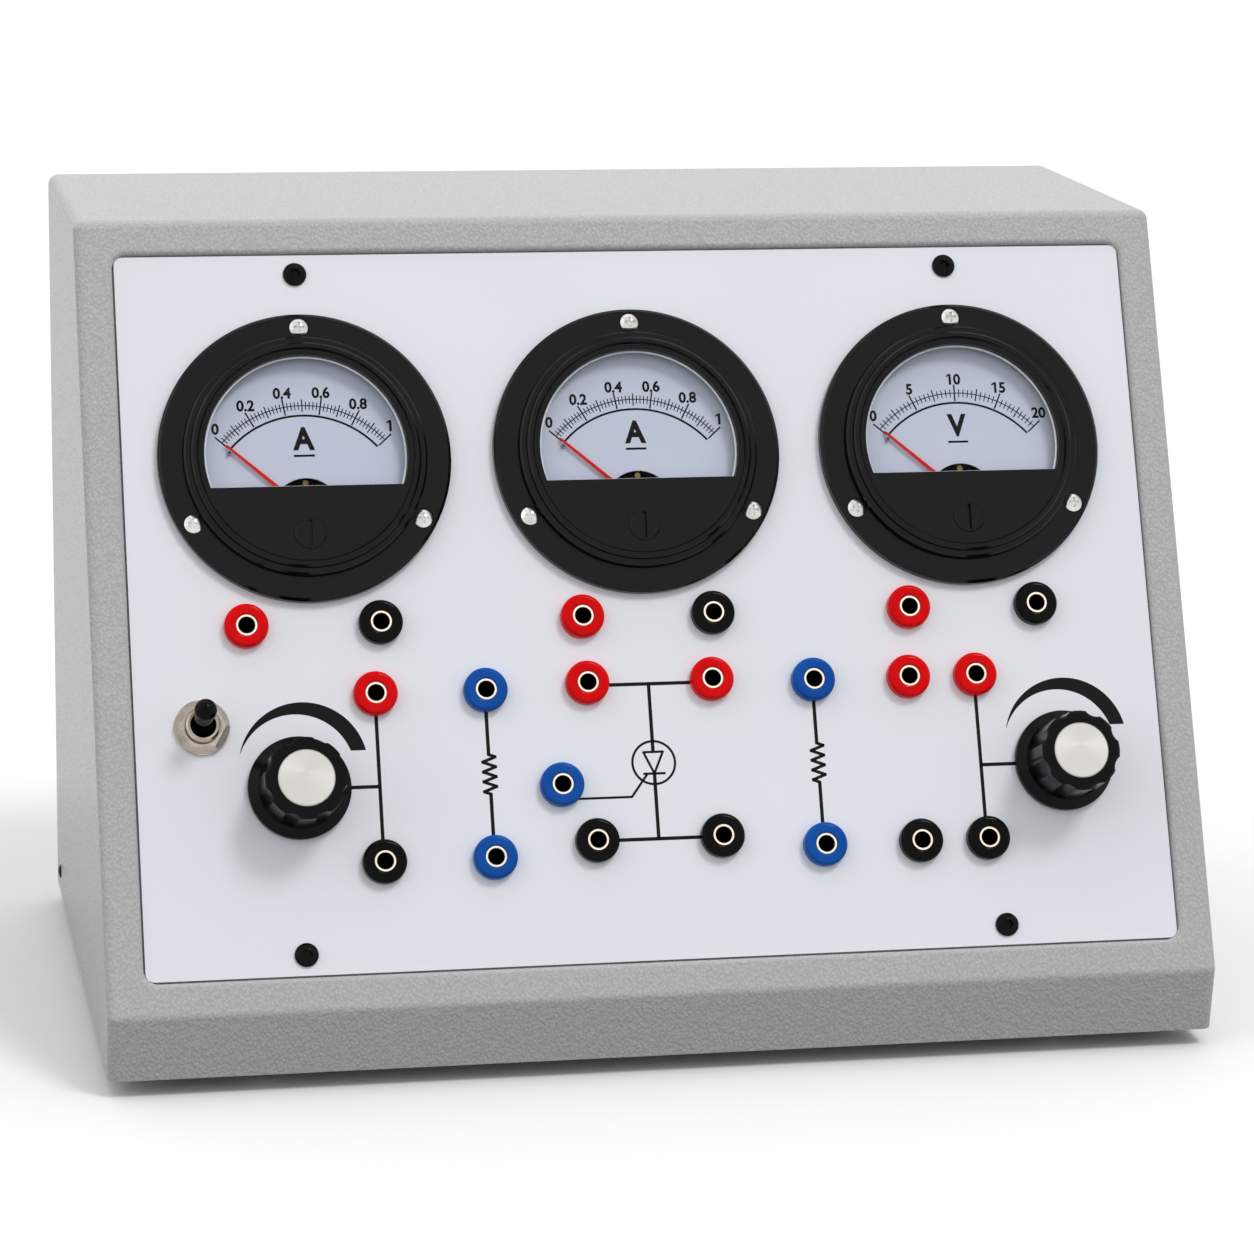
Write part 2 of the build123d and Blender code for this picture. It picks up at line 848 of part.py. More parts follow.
# Meter: dial plate, cut away round the movement, with the pointer's stop pin
stop_side = (pointer_root + pointer_tip) / 4 + stop_pin_radius + stop_gap
with BuildPart() as meter_dial:
    with BuildSketch(Plane.XY.offset(dial_rise)):
        Circle(dial_radius)
        with Locations((0, -pivot_drop)):
            Circle(movement_hole, mode=Mode.SUBTRACT)
    extrude(amount=-dial_plate)
    with BuildSketch(Plane.XY.offset(dial_rise - dial_plate / 2)):
        with Locations(Location((0, -pivot_drop, 0), (0, 0, scale_half_angle))):
            with Locations((-stop_side, stop_pin_place)):
                Circle(stop_pin_radius)
    extrude(amount=dial_plate / 2 - dial_rise + pointer_height + pointer_thickness)

# Meter: magnet yoke, core, bridges and the bar that carries the dial
with BuildPart() as meter_movement:
    with BuildSketch(Plane.XY.offset(yoke_back)):
        Circle(yoke_radius)
        Circle(yoke_bore, mode=Mode.SUBTRACT)
        Circle(core_radius)
        Rectangle(2 * (yoke_bore + web_overlap), web_width)
    extrude(amount=yoke_front - yoke_back)
    with BuildSketch(Plane.XY.offset(yoke_back)):
        with Locations((0, post_place)):
            Circle(post_radius)
    extrude(amount=dial_rise - post_drop - yoke_back)
    dial_bar_top = dial_rise - dial_plate
    with BuildSketch(Plane.XY.offset(dial_bar_top)):
        Rectangle(dial_bar_length, dial_bar_width)
        Circle(yoke_bore, mode=Mode.SUBTRACT)
    extrude(amount=-dial_bar_thickness)
    rear_bridge = yoke_back - coil_end - 2 * coil_end_gap
    with BuildSketch(Plane.XY.offset(stud_inner)):
        with Locations((-pillar_place, 0), (pillar_place, 0)):
            Circle(pillar_radius)
    extrude(amount=bridge_front + bridge_thickness - stud_inner)
    with BuildSketch(Plane.XY.offset(bridge_front)):
        Rectangle(2 * pillar_place + bridge_width, bridge_width)
    extrude(amount=bridge_thickness)
    with BuildSketch(Plane.XY.offset(rear_bridge)):
        Rectangle(2 * pillar_place + bridge_width, bridge_width)
    extrude(amount=-bridge_thickness)
    with Locations((0, 0, bridge_front + bridge_thickness - edge_ease)):
        Hole(staff_radius + bearing_gap, depth=bridge_thickness - edge_ease)
    with Locations((0, 0, rear_bridge)):
        Hole(staff_radius + bearing_gap, depth=bridge_thickness)

# Meter: staff, coil frame and pointer, drawn pointing up the dial
coil_front = yoke_front + coil_end_gap + coil_end
coil_back = yoke_back - coil_end_gap - coil_end
with BuildPart() as meter_pointer:
    with Locations((0, 0, (coil_front + coil_back) / 2)):
        Box(coil_thickness, 2 * coil_outer, coil_front - coil_back)
        Box(
            coil_thickness,
            2 * coil_inner,
            coil_front - coil_back - 2 * coil_end,
            mode=Mode.SUBTRACT,
        )
    with BuildSketch(Plane.XY.offset(coil_front - coil_end)):
        Circle(staff_radius)
    extrude(amount=bridge_front + bridge_thickness - 2 * edge_ease - coil_front + coil_end)
    with BuildSketch(Plane.XY.offset(coil_back + coil_end)):
        Circle(staff_radius)
    extrude(amount=-(coil_back + coil_end - rear_bridge + bridge_thickness / 2))
    with BuildSketch(Plane.XY.offset(pointer_height)):
        Circle(hub_radius)
        with BuildLine():
            Polyline(
                (-pointer_root / 2, -tail_length),
                (pointer_root / 2, -tail_length),
                (pointer_root / 2, 0),
                (pointer_tip / 2, pointer_length - pointer_tip),
                (0, pointer_length),
                (-pointer_tip / 2, pointer_length - pointer_tip),
                (-pointer_root / 2, 0),
                close=True,
            )
        make_face()
        with Locations((0, -tail_length)):
            Circle(tail_weight)
    extrude(amount=pointer_thickness)

# Meter: slotted zero adjuster held behind the cover's lower plate
adjuster_flange_top = plate_top - plate_thickness - adjuster_gap
with BuildPart() as meter_adjuster:
    with BuildSketch(Plane.XY.offset(adjuster_flange_top)):
        Circle(adjuster_radius)
    extrude(amount=plate_top + adjuster_proud - adjuster_flange_top)
    with BuildSketch(Plane.XY.offset(adjuster_flange_top)):
        Circle(adjuster_flange)
    extrude(amount=-adjuster_flange_height)
    with BuildSketch(Plane.XY.offset(adjuster_flange_top - adjuster_flange_height)):
        with Locations((0, peg_offset)):
            Circle(peg_radius)
    extrude(amount=-peg_length)
    top_edge = meter_adjuster.faces().sort_by(Axis.Z)[-1].edges()
    chamfer(top_edge, length=edge_ease / 2)
    with BuildSketch(Plane.XY.offset(plate_top + adjuster_proud)):
        Rectangle(slot_width, 2 * (adjuster_radius - slot_land))
    extrude(amount=-slot_depth, mode=Mode.SUBTRACT)

meter_names = ["ammeter_left", "ammeter_middle", "voltmeter"]
meter_nodes = {}
for name, place in zip(meter_names, meter_seats):
    pivot = shifted(place, (0, -pivot_drop, 0))
    at_zero = shifted(pivot, (0, 0, 0), (0, 0, scale_half_angle))
    adjuster = shifted(place, (0, -adjuster_drop, 0))
    meter_nodes[name + "_cover"] = group(meter_front, [place])
    meter_nodes[name + "_window"] = group(meter_glass, [place])
    meter_nodes[name + "_case"] = group(meter_can, [place])
    meter_nodes[name + "_dial"] = group(meter_dial, [place])
    meter_nodes[name + "_movement"] = group(meter_movement, [pivot])
    meter_nodes[name + "_pointer"] = group(meter_pointer, [at_zero])
    meter_nodes[name + "_zero_adjuster"] = group(meter_adjuster, [adjuster])

# Screws and nuts that hold the meters, and their terminal studs
meter_screw = domed_screw(
    meter_head,
    meter_head_height,
    flange_height - edge_ease + panel_plate + meter_screw_tail,
)
meter_nut = hex_nut(
    meter_nut_across,
    meter_nut_thickness,
    shank + nut_bore_gap,
    -panel_plate - meter_nut_thickness,
)
with BuildPart() as meter_screws:
    for place in meter_seats:
        with Locations(place):
            with PolarLocations(meter_screw_circle, 3, start_angle=90, rotate=False):
                with Locations((0, 0, flange_height - edge_ease)):
                    add(meter_screw.part)
                add(meter_nut.part)

terminal_stud = turned(
    [
        (0, stud_inner + stud_head_height),
        (stud_head, stud_inner + stud_head_height),
        (stud_head, stud_inner),
        (stud_radius, stud_inner),
        (stud_radius, can_end_z - stud_length),
        (0, can_end_z - stud_length),
    ]
)
terminal_nut = hex_nut(
    stud_nut_across,
    stud_nut_thickness,
    stud_radius + nut_bore_gap,
    can_end_z - stud_nut_thickness,
)
with BuildPart() as meter_terminals:
    for place in meter_seats:
        with Locations(place):
            with Locations((-stud_spread, 0, 0), (stud_spread, 0, 0)):
                add(terminal_stud.part)
                add(terminal_nut.part)


# Sockets: coloured head with its collar, insulating washer, metal sleeve and nut
with BuildPart() as socket_head:
    inner = sleeve_radius + collar_gap / 2
    with BuildSketch(Plane.XZ):
        with BuildLine():
            Polyline(
                (inner, head_height - head_mouth_round),
                (inner, -panel_plate),
                (collar_radius, -panel_plate),
                (collar_radius, 0),
                (head_radius, 0),
                (head_radius, head_height - head_round),
            )
            RadiusArc(
                (head_radius, head_height - head_round),
                (head_radius - head_round, head_height),
                -head_round,
            )
            Line(
                (head_radius - head_round, head_height),
                (inner + head_mouth_round, head_height),
            )
            RadiusArc(
                (inner + head_mouth_round, head_height),
                (inner, head_height - head_mouth_round),
                -head_mouth_round,
            )
        make_face()
    revolve(axis=Axis.Z)
    with BuildSketch(Plane.XY.offset(-panel_plate)):
        Circle(head_radius - edge_ease)
        Circle(inner, mode=Mode.SUBTRACT)
    extrude(amount=-washer_thickness)

sleeve_top = head_height - sleeve_sunk
sleeve = turned(
    [
        (socket_bore, sleeve_top - sleeve_mouth),
        (socket_bore + sleeve_mouth, sleeve_top),
        (sleeve_radius, sleeve_top),
        (sleeve_radius, -sleeve_depth - sleeve_tail),
        (tag_radius, -sleeve_depth - sleeve_tail),
        (tag_radius, -sleeve_depth - sleeve_tail - tag_length),
        (0, -sleeve_depth - sleeve_tail - tag_length),
        (0, -sleeve_depth),
        (socket_bore, -sleeve_depth),
    ]
)
socket_nut = hex_nut(
    socket_nut_across,
    socket_nut_thickness,
    sleeve_radius + nut_bore_gap,
    -panel_plate - washer_thickness - socket_nut_thickness,
)
socket_insulators_red = group(socket_head, [seat(u, v) for u, v in red_sockets])
socket_insulators_black = group(socket_head, [seat(u, v) for u, v in black_sockets])
socket_insulators_blue = group(socket_head, [seat(u, v) for u, v in blue_sockets])
socket_sleeves = group(sleeve, [seat(u, v) for u, v in all_sockets])
socket_nuts = group(socket_nut, [seat(u, v) for u, v in all_sockets])


# Toggle switch
switch_seat = seat(*switch_place)
with BuildPart() as switch_nut_piece:
    with BuildSketch(Plane.XY):
        Circle(switch_washer_radius)
        Circle(bush_radius + collar_gap, mode=Mode.SUBTRACT)
    extrude(amount=switch_washer)
switch_nut_high = switch_washer + switch_nut
switch_nut_mouth_floor = switch_nut_high - switch_nut_mouth[1]
switch_nut_blank = turned(
    [
        (bush_radius + collar_gap, switch_washer),
        (switch_nut_side, switch_washer),
        (switch_nut_side, switch_nut_high),
        (bush_radius + switch_nut_mouth[0], switch_nut_high),
        (bush_radius + switch_nut_mouth[0], switch_nut_mouth_floor),
        (bush_radius + collar_gap, switch_nut_mouth_floor),
    ]
)
with BuildPart() as switch_hexagon:
    with BuildSketch(Plane.XY.offset(switch_washer)):
        RegularPolygon(radius=hexagon(switch_nut_across), side_count=6)
    with BuildSketch(Plane.XY.offset(switch_nut_high)):
        RegularPolygon(radius=hexagon(switch_nut_top_across), side_count=6)
    loft()
    add(switch_nut_blank.part, mode=Mode.INTERSECT)
with BuildPart() as toggle_nut:
    with Locations(switch_seat):
        add(switch_nut_piece.part)
        add(switch_hexagon.part)

with BuildPart() as switch_bush:
    with BuildSketch(Plane.XY.offset(-panel_plate)):
        Rectangle(switch_width, switch_length)
    extrude(amount=-switch_plate)
    with BuildSketch(Plane.XY.offset(-panel_plate - switch_plate)):
        Circle(bush_radius)
    extrude(amount=panel_plate + switch_plate + bush_proud)
    chamfer(switch_bush.faces().sort_by(Axis.Z)[-1].edges(), length=bush_bevel)
    with Locations((0, 0, bush_proud)):
        Hole(bush_bore, depth=bush_proud + panel_plate + switch_plate)
    chamfer(
        switch_bush.faces().sort_by(Axis.Z)[-1].edges().sort_by(SortBy.LENGTH)[0],
        length=bush_mouth,
    )
    with Locations(Plane(origin=(bush_radius, 0, switch_pivot), z_dir=(1, 0, 0))):
        Hole(switch_pin_radius + bearing_gap, depth=2 * bush_radius)
toggle_bush = group(switch_bush, [switch_seat])

switch_top = -panel_plate - switch_plate
with BuildPart() as switch_box:
    with BuildSketch(Plane.XY.offset(switch_top)):
        Rectangle(switch_width, switch_length)
    extrude(amount=-switch_depth)
    with BuildSketch(Plane.XY.offset(switch_top)):
        Rectangle(switch_cavity[0], switch_cavity[1])
    extrude(amount=-switch_cavity[2], mode=Mode.SUBTRACT)
    with BuildSketch(Plane.XY.offset(switch_top - switch_depth)):
        with GridLocations(switch_width / 2, switch_length / 3, 2, 3):
            Rectangle(lug[0], lug[1])
    extrude(amount=-lug[2])
toggle_body = group(switch_box, [switch_seat])

with BuildPart() as switch_lever:
    with BuildSketch(Plane.XZ):
        with BuildLine():
            Polyline(
                (0, -lever_tail),
                (lever_tail_radius, -lever_tail),
                (lever_tail_radius, -lever_shoulder[0]),
                (lever_neck, -lever_shoulder[1]),
                (lever_neck, lever_neck_top),
                (lever_waist, lever_waist_low),
                (lever_waist, lever_length - lever_swell_low),
                (lever_tip, lever_length - lever_swell_high),
                (lever_tip, lever_length - lever_tip),
            )
            RadiusArc((lever_tip, lever_length - lever_tip), (0, lever_length), -lever_tip)
            Line((0, lever_length), (0, -lever_tail))
        make_face()
    revolve(axis=Axis.Z)
    with BuildSketch(Plane.YZ):
        Circle(switch_pin_radius)
    extrude(amount=bush_radius - switch_pin_inset, both=True)
lever_seat = shifted(switch_seat, (0, 0, switch_pivot), (-lever_throw, 0, 0))
toggle_lever = group(switch_lever, [lever_seat])


# Potentiometers: can with its bush, shaft with its wiper, nut and washer
pot_front = -panel_plate - pot_shoulder
pot_back = pot_front - pot_depth
pot_shell = turned(
    [
        (shaft_radius + shaft_gap, pot_bush_proud),
        (pot_bush_radius, pot_bush_proud),
        (pot_bush_radius, -panel_plate),
        (pot_shoulder_radius, -panel_plate),
        (pot_shoulder_radius, pot_front),
        (pot_radius, pot_front),
        (pot_radius, pot_back),
        (0, pot_back),
        (0, pot_back + pot_wall),
        (pot_radius - pot_wall, pot_back + pot_wall),
        (pot_radius - pot_wall, pot_front - pot_wall),
        (shaft_radius + shaft_gap, pot_front - pot_wall),
    ]
)
with BuildPart() as pot_can:
    add(pot_shell.part)
    with BuildSketch(Plane.XY.offset(pot_back)):
        with Locations((0, pot_lug_overlap - pot_radius)):
            with GridLocations(pot_lug_pitch, 1, 3, 1):
                Rectangle(pot_lug[0], pot_lug[1])
    extrude(amount=pot_lug[2])
wiper_top = pot_front - pot_wall - wiper_gap
pot_spindle = turned(
    [
        (0, shaft_top),
        (shaft_radius, shaft_top),
        (shaft_radius, wiper_top),
        (wiper_radius, wiper_top),
        (wiper_radius, wiper_top - wiper_plate),
        (0, wiper_top - wiper_plate),
    ]
)
pot_ring = turned(
    [
        (pot_bush_radius + collar_gap, 0),
        (pot_shoulder_radius, 0),
        (pot_shoulder_radius, pot_washer),
        (pot_bush_radius + collar_gap, pot_washer),
    ]
)
pot_hexagon = hex_nut(pot_nut_across, pot_nut, pot_bush_radius + nut_bore_gap, pot_washer)
with BuildPart() as pot_nuts:
    with Locations(*[seat(u, knob_row) for u in pot_us]):
        add(pot_ring.part)
        add(pot_hexagon.part)

# Knobs: skirt, lobed grip and an aluminium cap let into the top
knob_turning = turned(
    [
        (0, skirt_lift),
        (skirt_radius, skirt_lift),
        (skirt_radius, skirt_lift + skirt_edge),
        (skirt_radius - skirt_bevel[0], skirt_lift + skirt_edge + skirt_bevel[1]),
        (grip_radius, grip_foot),
        (0, grip_foot),
    ]
)
scallop_place = grip_radius - scallop_depth + scallop_radius
with BuildPart() as knob_body:
    add(knob_turning.part)
    with BuildSketch(Plane.XY.offset(grip_foot)):
        Circle(grip_radius)
        with PolarLocations(scallop_place, knob_lobes, start_angle=90 + 180 / knob_lobes):
            Circle(scallop_radius, mode=Mode.SUBTRACT)
    with BuildSketch(Plane.XY.offset(knob_height)):
        Circle(grip_top_radius)
        with PolarLocations(
            scallop_place + grip_top_radius - grip_radius,
            knob_lobes,
            start_angle=90 + 180 / knob_lobes,
        ):
            Circle(scallop_radius, mode=Mode.SUBTRACT)
    loft()
    grip_crown = knob_body.faces().sort_by(Axis.Z)[-1]
    chamfer(grip_crown.edges(), length=crown_bevel)
    with Locations((0, 0, knob_height)):
        Hole(cap_radius + collar_gap, depth=cap_plate - cap_proud)
    with BuildSketch(Plane.XY.offset(skirt_lift)):
        Circle(knob_recess)
    extrude(amount=knob_recess_top - skirt_lift, mode=Mode.SUBTRACT)
    with BuildSketch(Plane.XY.offset(skirt_lift)):
        Circle(shaft_radius + knob_bore_gap)
    extrude(amount=shaft_top - skirt_lift, mode=Mode.SUBTRACT)

cap_bottom = knob_height - cap_plate + cap_proud
knob_disc = turned(
    [
        (0, cap_bottom),
        (cap_radius, cap_bottom),
        (cap_radius, cap_bottom + cap_plate - cap_bevel),
        (cap_radius - cap_bevel, cap_bottom + cap_plate),
        (0, cap_bottom + cap_plate),
    ]
)
pot_nodes = {}
for side, u in zip(("left", "right"), pot_us):
    here = [seat(u, knob_row)]
    pot_nodes["knob_" + side] = group(knob_body, here)
    pot_nodes["knob_" + side + "_cap"] = group(knob_disc, here)
    pot_nodes["pot_" + side + "_shaft"] = group(pot_spindle, here)
    pot_nodes["pot_" + side + "_case"] = group(pot_can, here)


# Rear fittings: cord gland and fuse holder
cord_gland = group(
    turned(
        [
            (gland_bore, rear_fitting_reach),
            (gland_thread, rear_fitting_reach),
            (gland_flange - gland_bevel[0], gland_flange_height + gland_bevel[1]),
            (gland_flange, gland_flange_height),
            (gland_flange, 0),
            (gland_thread, 0),
            (gland_thread, -gland_depth),
            (gland_bore, -gland_depth),
        ]
    ),
    [rear_seat(*gland_place)],
)
fuse_holder = group(
    turned(
        [
            (fuse_bore, fuse_flange_height),
            (fuse_flange, fuse_flange_height),
            (fuse_flange, 0),
            (fuse_body_radius, 0),
            (fuse_body_radius, -fuse_body_depth),
            (0, -fuse_body_depth),
            (0, -fuse_body_depth + fuse_floor),
            (fuse_bore, -fuse_body_depth + fuse_floor),
        ]
    ),
    [rear_seat(*fuse_place)],
)
fuse_link_top = -fuse_link_set_in
fuse_link = group(
    turned(
        [
            (0, fuse_link_top),
            (fuse_link_radius, fuse_link_top),
            (fuse_link_radius, fuse_link_top - fuse_link_length),
            (0, fuse_link_top - fuse_link_length),
        ]
    ),
    [rear_seat(*fuse_place)],
)
fuse_grip = turned(
    [
        (0, rear_fitting_reach),
        (fuse_cap_radius - edge_ease, rear_fitting_reach),
        (fuse_cap_radius, rear_fitting_reach - edge_ease),
        (fuse_cap_radius, fuse_flange_height + fit_gap),
        (fuse_sleeve, fuse_flange_height + fit_gap),
        (fuse_sleeve, fuse_link_top - fuse_sleeve_length),
        (fuse_link_radius + fit_gap, fuse_link_top - fuse_sleeve_length),
        (fuse_link_radius + fit_gap, fuse_link_top + fit_gap),
        (0, fuse_link_top + fit_gap),
    ]
)
with BuildPart() as fuse_cap_piece:
    add(fuse_grip.part)
    with BuildSketch(Plane.XY.offset(rear_fitting_reach)):
        Rectangle(fuse_slot[0], 2 * fuse_cap_radius)
    extrude(amount=-fuse_slot[1], mode=Mode.SUBTRACT)
fuse_cap = group(fuse_cap_piece, [rear_seat(*fuse_place)])


# Inside the case: mains transformer, circuit board and what stands on it
core_middle_z = base_top + strap[2] + core_height / 2
with BuildPart() as transformer_core:
    with BuildSketch(Plane.XZ.offset(-transformer_place[1] - core_stack / 2)):
        with Locations((transformer_place[0], core_middle_z)):
            Rectangle(core_width, core_height)
            with GridLocations(core_limb + winding_window, 1, 2, 1):
                Rectangle(winding_window, winding_height, mode=Mode.SUBTRACT)
    extrude(amount=core_stack)
    with BuildSketch(Plane.XY.offset(base_top)):
        with Locations(transformer_place):
            Rectangle(strap[0], strap[1])
    extrude(amount=strap[2])
with BuildPart() as transformer_winding:
    with Locations((*transformer_place, core_middle_z)):
        Box(
            core_limb + 2 * winding_window - fit_gap,
            core_stack + 2 * winding_bulge,
            winding_height - fit_gap,
        )
        Box(core_limb + fit_gap, core_stack + fit_gap, winding_height, mode=Mode.SUBTRACT)
    upright = transformer_winding.edges().filter_by(Axis.Z).group_by(SortBy.DISTANCE)[-1]
    fillet(upright, radius=winding_corner)

board_z = base_top + board_rise
board_top = board_z + board_size[2]
with BuildPart() as circuit_board:
    with BuildSketch(Plane.XY.offset(board_z)):
        with Locations(board_place):
            Rectangle(board_size[0], board_size[1])
    extrude(amount=board_size[2])
capacitor = turned(
    [
        (0, 0),
        (capacitor_radius, 0),
        (capacitor_radius, capacitor_height - edge_ease),
        (capacitor_radius - edge_ease, capacitor_height),
        (0, capacitor_height),
    ]
)
capacitor_first = board_place[0] - board_size[0] / 2 + capacitor_inset[0]
capacitor_row = board_place[1] + board_size[1] / 2 - capacitor_inset[1]
board_capacitors = group(
    capacitor,
    [
        Plane(origin=(capacitor_first + capacitor_pitch * step, capacitor_row, board_top))
        for step in range(capacitor_count)
    ],
)
with BuildPart() as heat_sink:
    with BuildSketch(Plane.XY):
        with Locations((0, sink[1] / 2)):
            Rectangle(sink[0], sink_fin, align=(Align.CENTER, Align.MAX))
        with GridLocations((sink[0] - sink_fin) / (sink_fins - 1), 1, sink_fins, 1):
            Rectangle(sink_fin, sink[1])
    extrude(amount=sink[2])
sink_column = board_place[0] + board_size[0] / 2 - sink_inset[0]
sink_first = board_place[1] - board_size[1] / 2 + sink_inset[1]
sink_places = [(sink_column, sink_first + sink_pitch * step) for step in (0, 1)]
board_heatsinks = group(
    heat_sink, [Plane(origin=(x, y, board_top)) for x, y in sink_places]
)
with BuildPart() as package:
    with Locations((0, 0, device_lift + device[2] / 2)):
        Box(*device)
    with Locations((0, 0, device_leg[2] / 2)):
        with GridLocations(device_leg_pitch, 1, 3, 1):
            Box(*device_leg)
power_devices = group(
    package,
    [
        Plane(origin=(x, y + sink[1] / 2 + device[1] / 2, board_top))
        for x, y in sink_places
    ],
)


# Every finished piece under its own name
nodes = {
    "case_shell": case_shell,
    "front_panel": front_panel,
    "rear_panel": rear_panel,
    "base_plate": base_plate,
    "feet": feet,
    "base_screws": base_screws,
    "side_screws": side_screws,
    "rear_screws": rear_screws,
    "panel_screws": panel_screws,
    **meter_nodes,
    "meter_screws": meter_screws,
    "meter_terminals": meter_terminals,
    "socket_insulators_red": socket_insulators_red,
    "socket_insulators_black": socket_insulators_black,
    "socket_insulators_blue": socket_insulators_blue,
    "socket_sleeves": socket_sleeves,
    "socket_nuts": socket_nuts,
    "toggle_nut": toggle_nut,
    "toggle_bush": toggle_bush,
    "toggle_body": toggle_body,
    "toggle_lever": toggle_lever,
    **pot_nodes,
    "pot_nuts": pot_nuts,
    "cord_gland": cord_gland,
    "fuse_holder": fuse_holder,
    "fuse_link": fuse_link,
    "fuse_cap": fuse_cap,
    "transformer_core": transformer_core,
    "transformer_winding": transformer_winding,
    "circuit_board": circuit_board,
    "board_capacitors": board_capacitors,
    "board_heatsinks": board_heatsinks,
    "power_devices": power_devices,
}

os.makedirs("parts", exist_ok=True)
for name, piece in nodes.items():
    piece.part.label = name
    export_step(piece.part, f"parts/{name}.step")
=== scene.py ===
import json
from math import asin, cos, pi, radians, sin, sqrt

import bmesh
import bpy
from mathutils import Matrix, Vector


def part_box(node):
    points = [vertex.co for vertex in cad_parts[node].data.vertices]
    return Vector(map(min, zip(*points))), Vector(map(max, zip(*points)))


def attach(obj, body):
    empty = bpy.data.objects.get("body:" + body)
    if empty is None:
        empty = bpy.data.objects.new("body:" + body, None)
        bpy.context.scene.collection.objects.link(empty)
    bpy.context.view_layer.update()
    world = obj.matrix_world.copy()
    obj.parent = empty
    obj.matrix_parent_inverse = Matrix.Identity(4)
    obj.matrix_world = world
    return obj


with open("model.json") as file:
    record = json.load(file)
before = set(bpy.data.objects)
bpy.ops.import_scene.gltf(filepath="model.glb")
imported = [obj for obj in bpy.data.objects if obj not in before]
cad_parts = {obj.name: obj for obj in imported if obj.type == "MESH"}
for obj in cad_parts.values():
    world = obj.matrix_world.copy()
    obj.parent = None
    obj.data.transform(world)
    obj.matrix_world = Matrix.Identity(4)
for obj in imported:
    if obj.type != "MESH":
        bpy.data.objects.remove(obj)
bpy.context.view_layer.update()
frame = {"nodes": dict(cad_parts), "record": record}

mm = 0.001
scene = bpy.context.scene

# The panel's slope, and its lower edge above the lip
slope_run = 90.0 * mm
slope_rise = 198.0 * mm
panel_low = 9.5 * mm

# Panel layout across (u) and up (v) from the middle of the lip, as the solids have it
meter_us = [-92.8 * mm, -1.0 * mm, 90.8 * mm]
meter_row = 150.2 * mm
upper_row = 84.1 * mm
lower_row = 39.0 * mm
anode_row = 85.2 * mm
cathode_row = 42.5 * mm
divider_us = [-77.1 * mm, 90.0 * mm]
resistor_us = [-47.1 * mm, 44.0 * mm]
thyristor_us = [-19.0 * mm, 15.6 * mm]
knob_us = [-98.9 * mm, 113.4 * mm]
knob_row = 59.4 * mm
socket_radius = 6.0 * mm
# Heights above the panel face at which the sleeves' bore turns from pale nickel to painted shade
bore_top = 2.82 * mm
bore_end = -21.0 * mm
rim_fade = 0.1 * mm
tail_fade = 1.0 * mm
skirt_radius = 13.9 * mm
pivot_drop = 15.0 * mm
dial_rise = 0.9 * mm
scale_half_angle = radians(48.5)

# Printed marks
ink_height = 0.03 * mm
ink_root = 0.02 * mm
line_width = 0.98 * mm
line_overrun = 0.6  # length added to a line, as a share of its width
under_head = 0.9  # share of a socket's radius at which a line ends below its head
under_skirt = 0.95  # the same for a knob's skirt
ring_steps = 96
arc_steps = 48
weld_distance = 0.001 * mm
resistor_top = 67.2 * mm
resistor_bottom = 56.4 * mm
zigzag_reach = 1.8 * mm
zigzag_peaks = 8
zigzag_width = 0.86 * mm
symbol_u = -1.85 * mm
symbol_circle = (symbol_u, 63.4 * mm, 5.9 * mm)
anode_point = 66.35 * mm
cathode_point = 60.4 * mm
triangle_half = 2.7 * mm
cathode_half = 2.9 * mm
symbol_width = 0.65 * mm
gate_path = [(-3.9 * mm, 60.2 * mm), (-8.5 * mm, 54.2 * mm), (-23.1 * mm, 54.2 * mm)]
tap_row = 59.55 * mm
wedge_outer = (1.6 * mm, 6.4 * mm, 17.4 * mm)
wedge_inner = (-0.4 * mm, 4.7 * mm, 15.85 * mm)
wedge_foot = 10.2 * mm

# Bead at the edge of the meters' windows, coloured pale as a painted highlight
window_radius = 27.7 * mm
window_chord = 8.8 * mm
window_sheet = 4.1 * mm
bead_radius = 0.32 * mm
bead_segments = 10

# Dark sleeve on the pointers' stop pins
stop_pin = (-20.46 * mm, 1.71 * mm)
stop_sleeve_radius = 0.56 * mm
stop_sleeve_taper = 0.8
stop_sleeve_segments = 24
stop_pin_top = 2.12 * mm

# Meter scales
scale_arc = 26.9 * mm
scale_arc_width = 0.58 * mm
tick_arc = 29.7 * mm
tick_arc_width = 0.26 * mm
minor_tick = (28.6 * mm, 30.7 * mm)
middle_tick = (28.0 * mm, 31.3 * mm)
major_tick = (27.5 * mm, 32.0 * mm)
minor_width = 0.27 * mm
middle_width = 0.33 * mm
major_width = 0.42 * mm
number_radius = 33.5 * mm
number_half_angle = radians(45.6)
number_height = 3.0 * mm
number_weight = 0.14 * mm
number_squeeze = 0.98
stem_inset = 0.15 * mm
flag_reach = 0.75 * mm
flag_drop = 0.55 * mm
symbol_rise = 20.1 * mm
symbol_height = 6.2 * mm
symbol_weight = 0.33 * mm
symbol_squeeze = 0.9
face_size = 1.37  # size of the plain face per height of a capital
underline_rise = 15.7 * mm
underline_length = 5.4 * mm
underline_width = 0.6 * mm

# Panel coordinates: u to the right, v up the slope from the lip, w out of the panel
slope_length = sqrt(slope_run**2 + slope_rise**2)
panel_up = Vector((0, slope_run, slope_rise)) / slope_length
panel_out = Vector((0, -slope_rise, slope_run)) / slope_length
panel_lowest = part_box("front_panel")[0]
panel_thickness = 2.0 * mm
panel_foot = Vector((0, panel_lowest.y, panel_lowest.z + panel_thickness * panel_out.z))
panel_origin = panel_foot - panel_low * panel_up
panel_place = Matrix.Translation(panel_origin) @ Matrix(
    ((1, 0, 0), panel_up, panel_out)
).transposed().to_4x4()


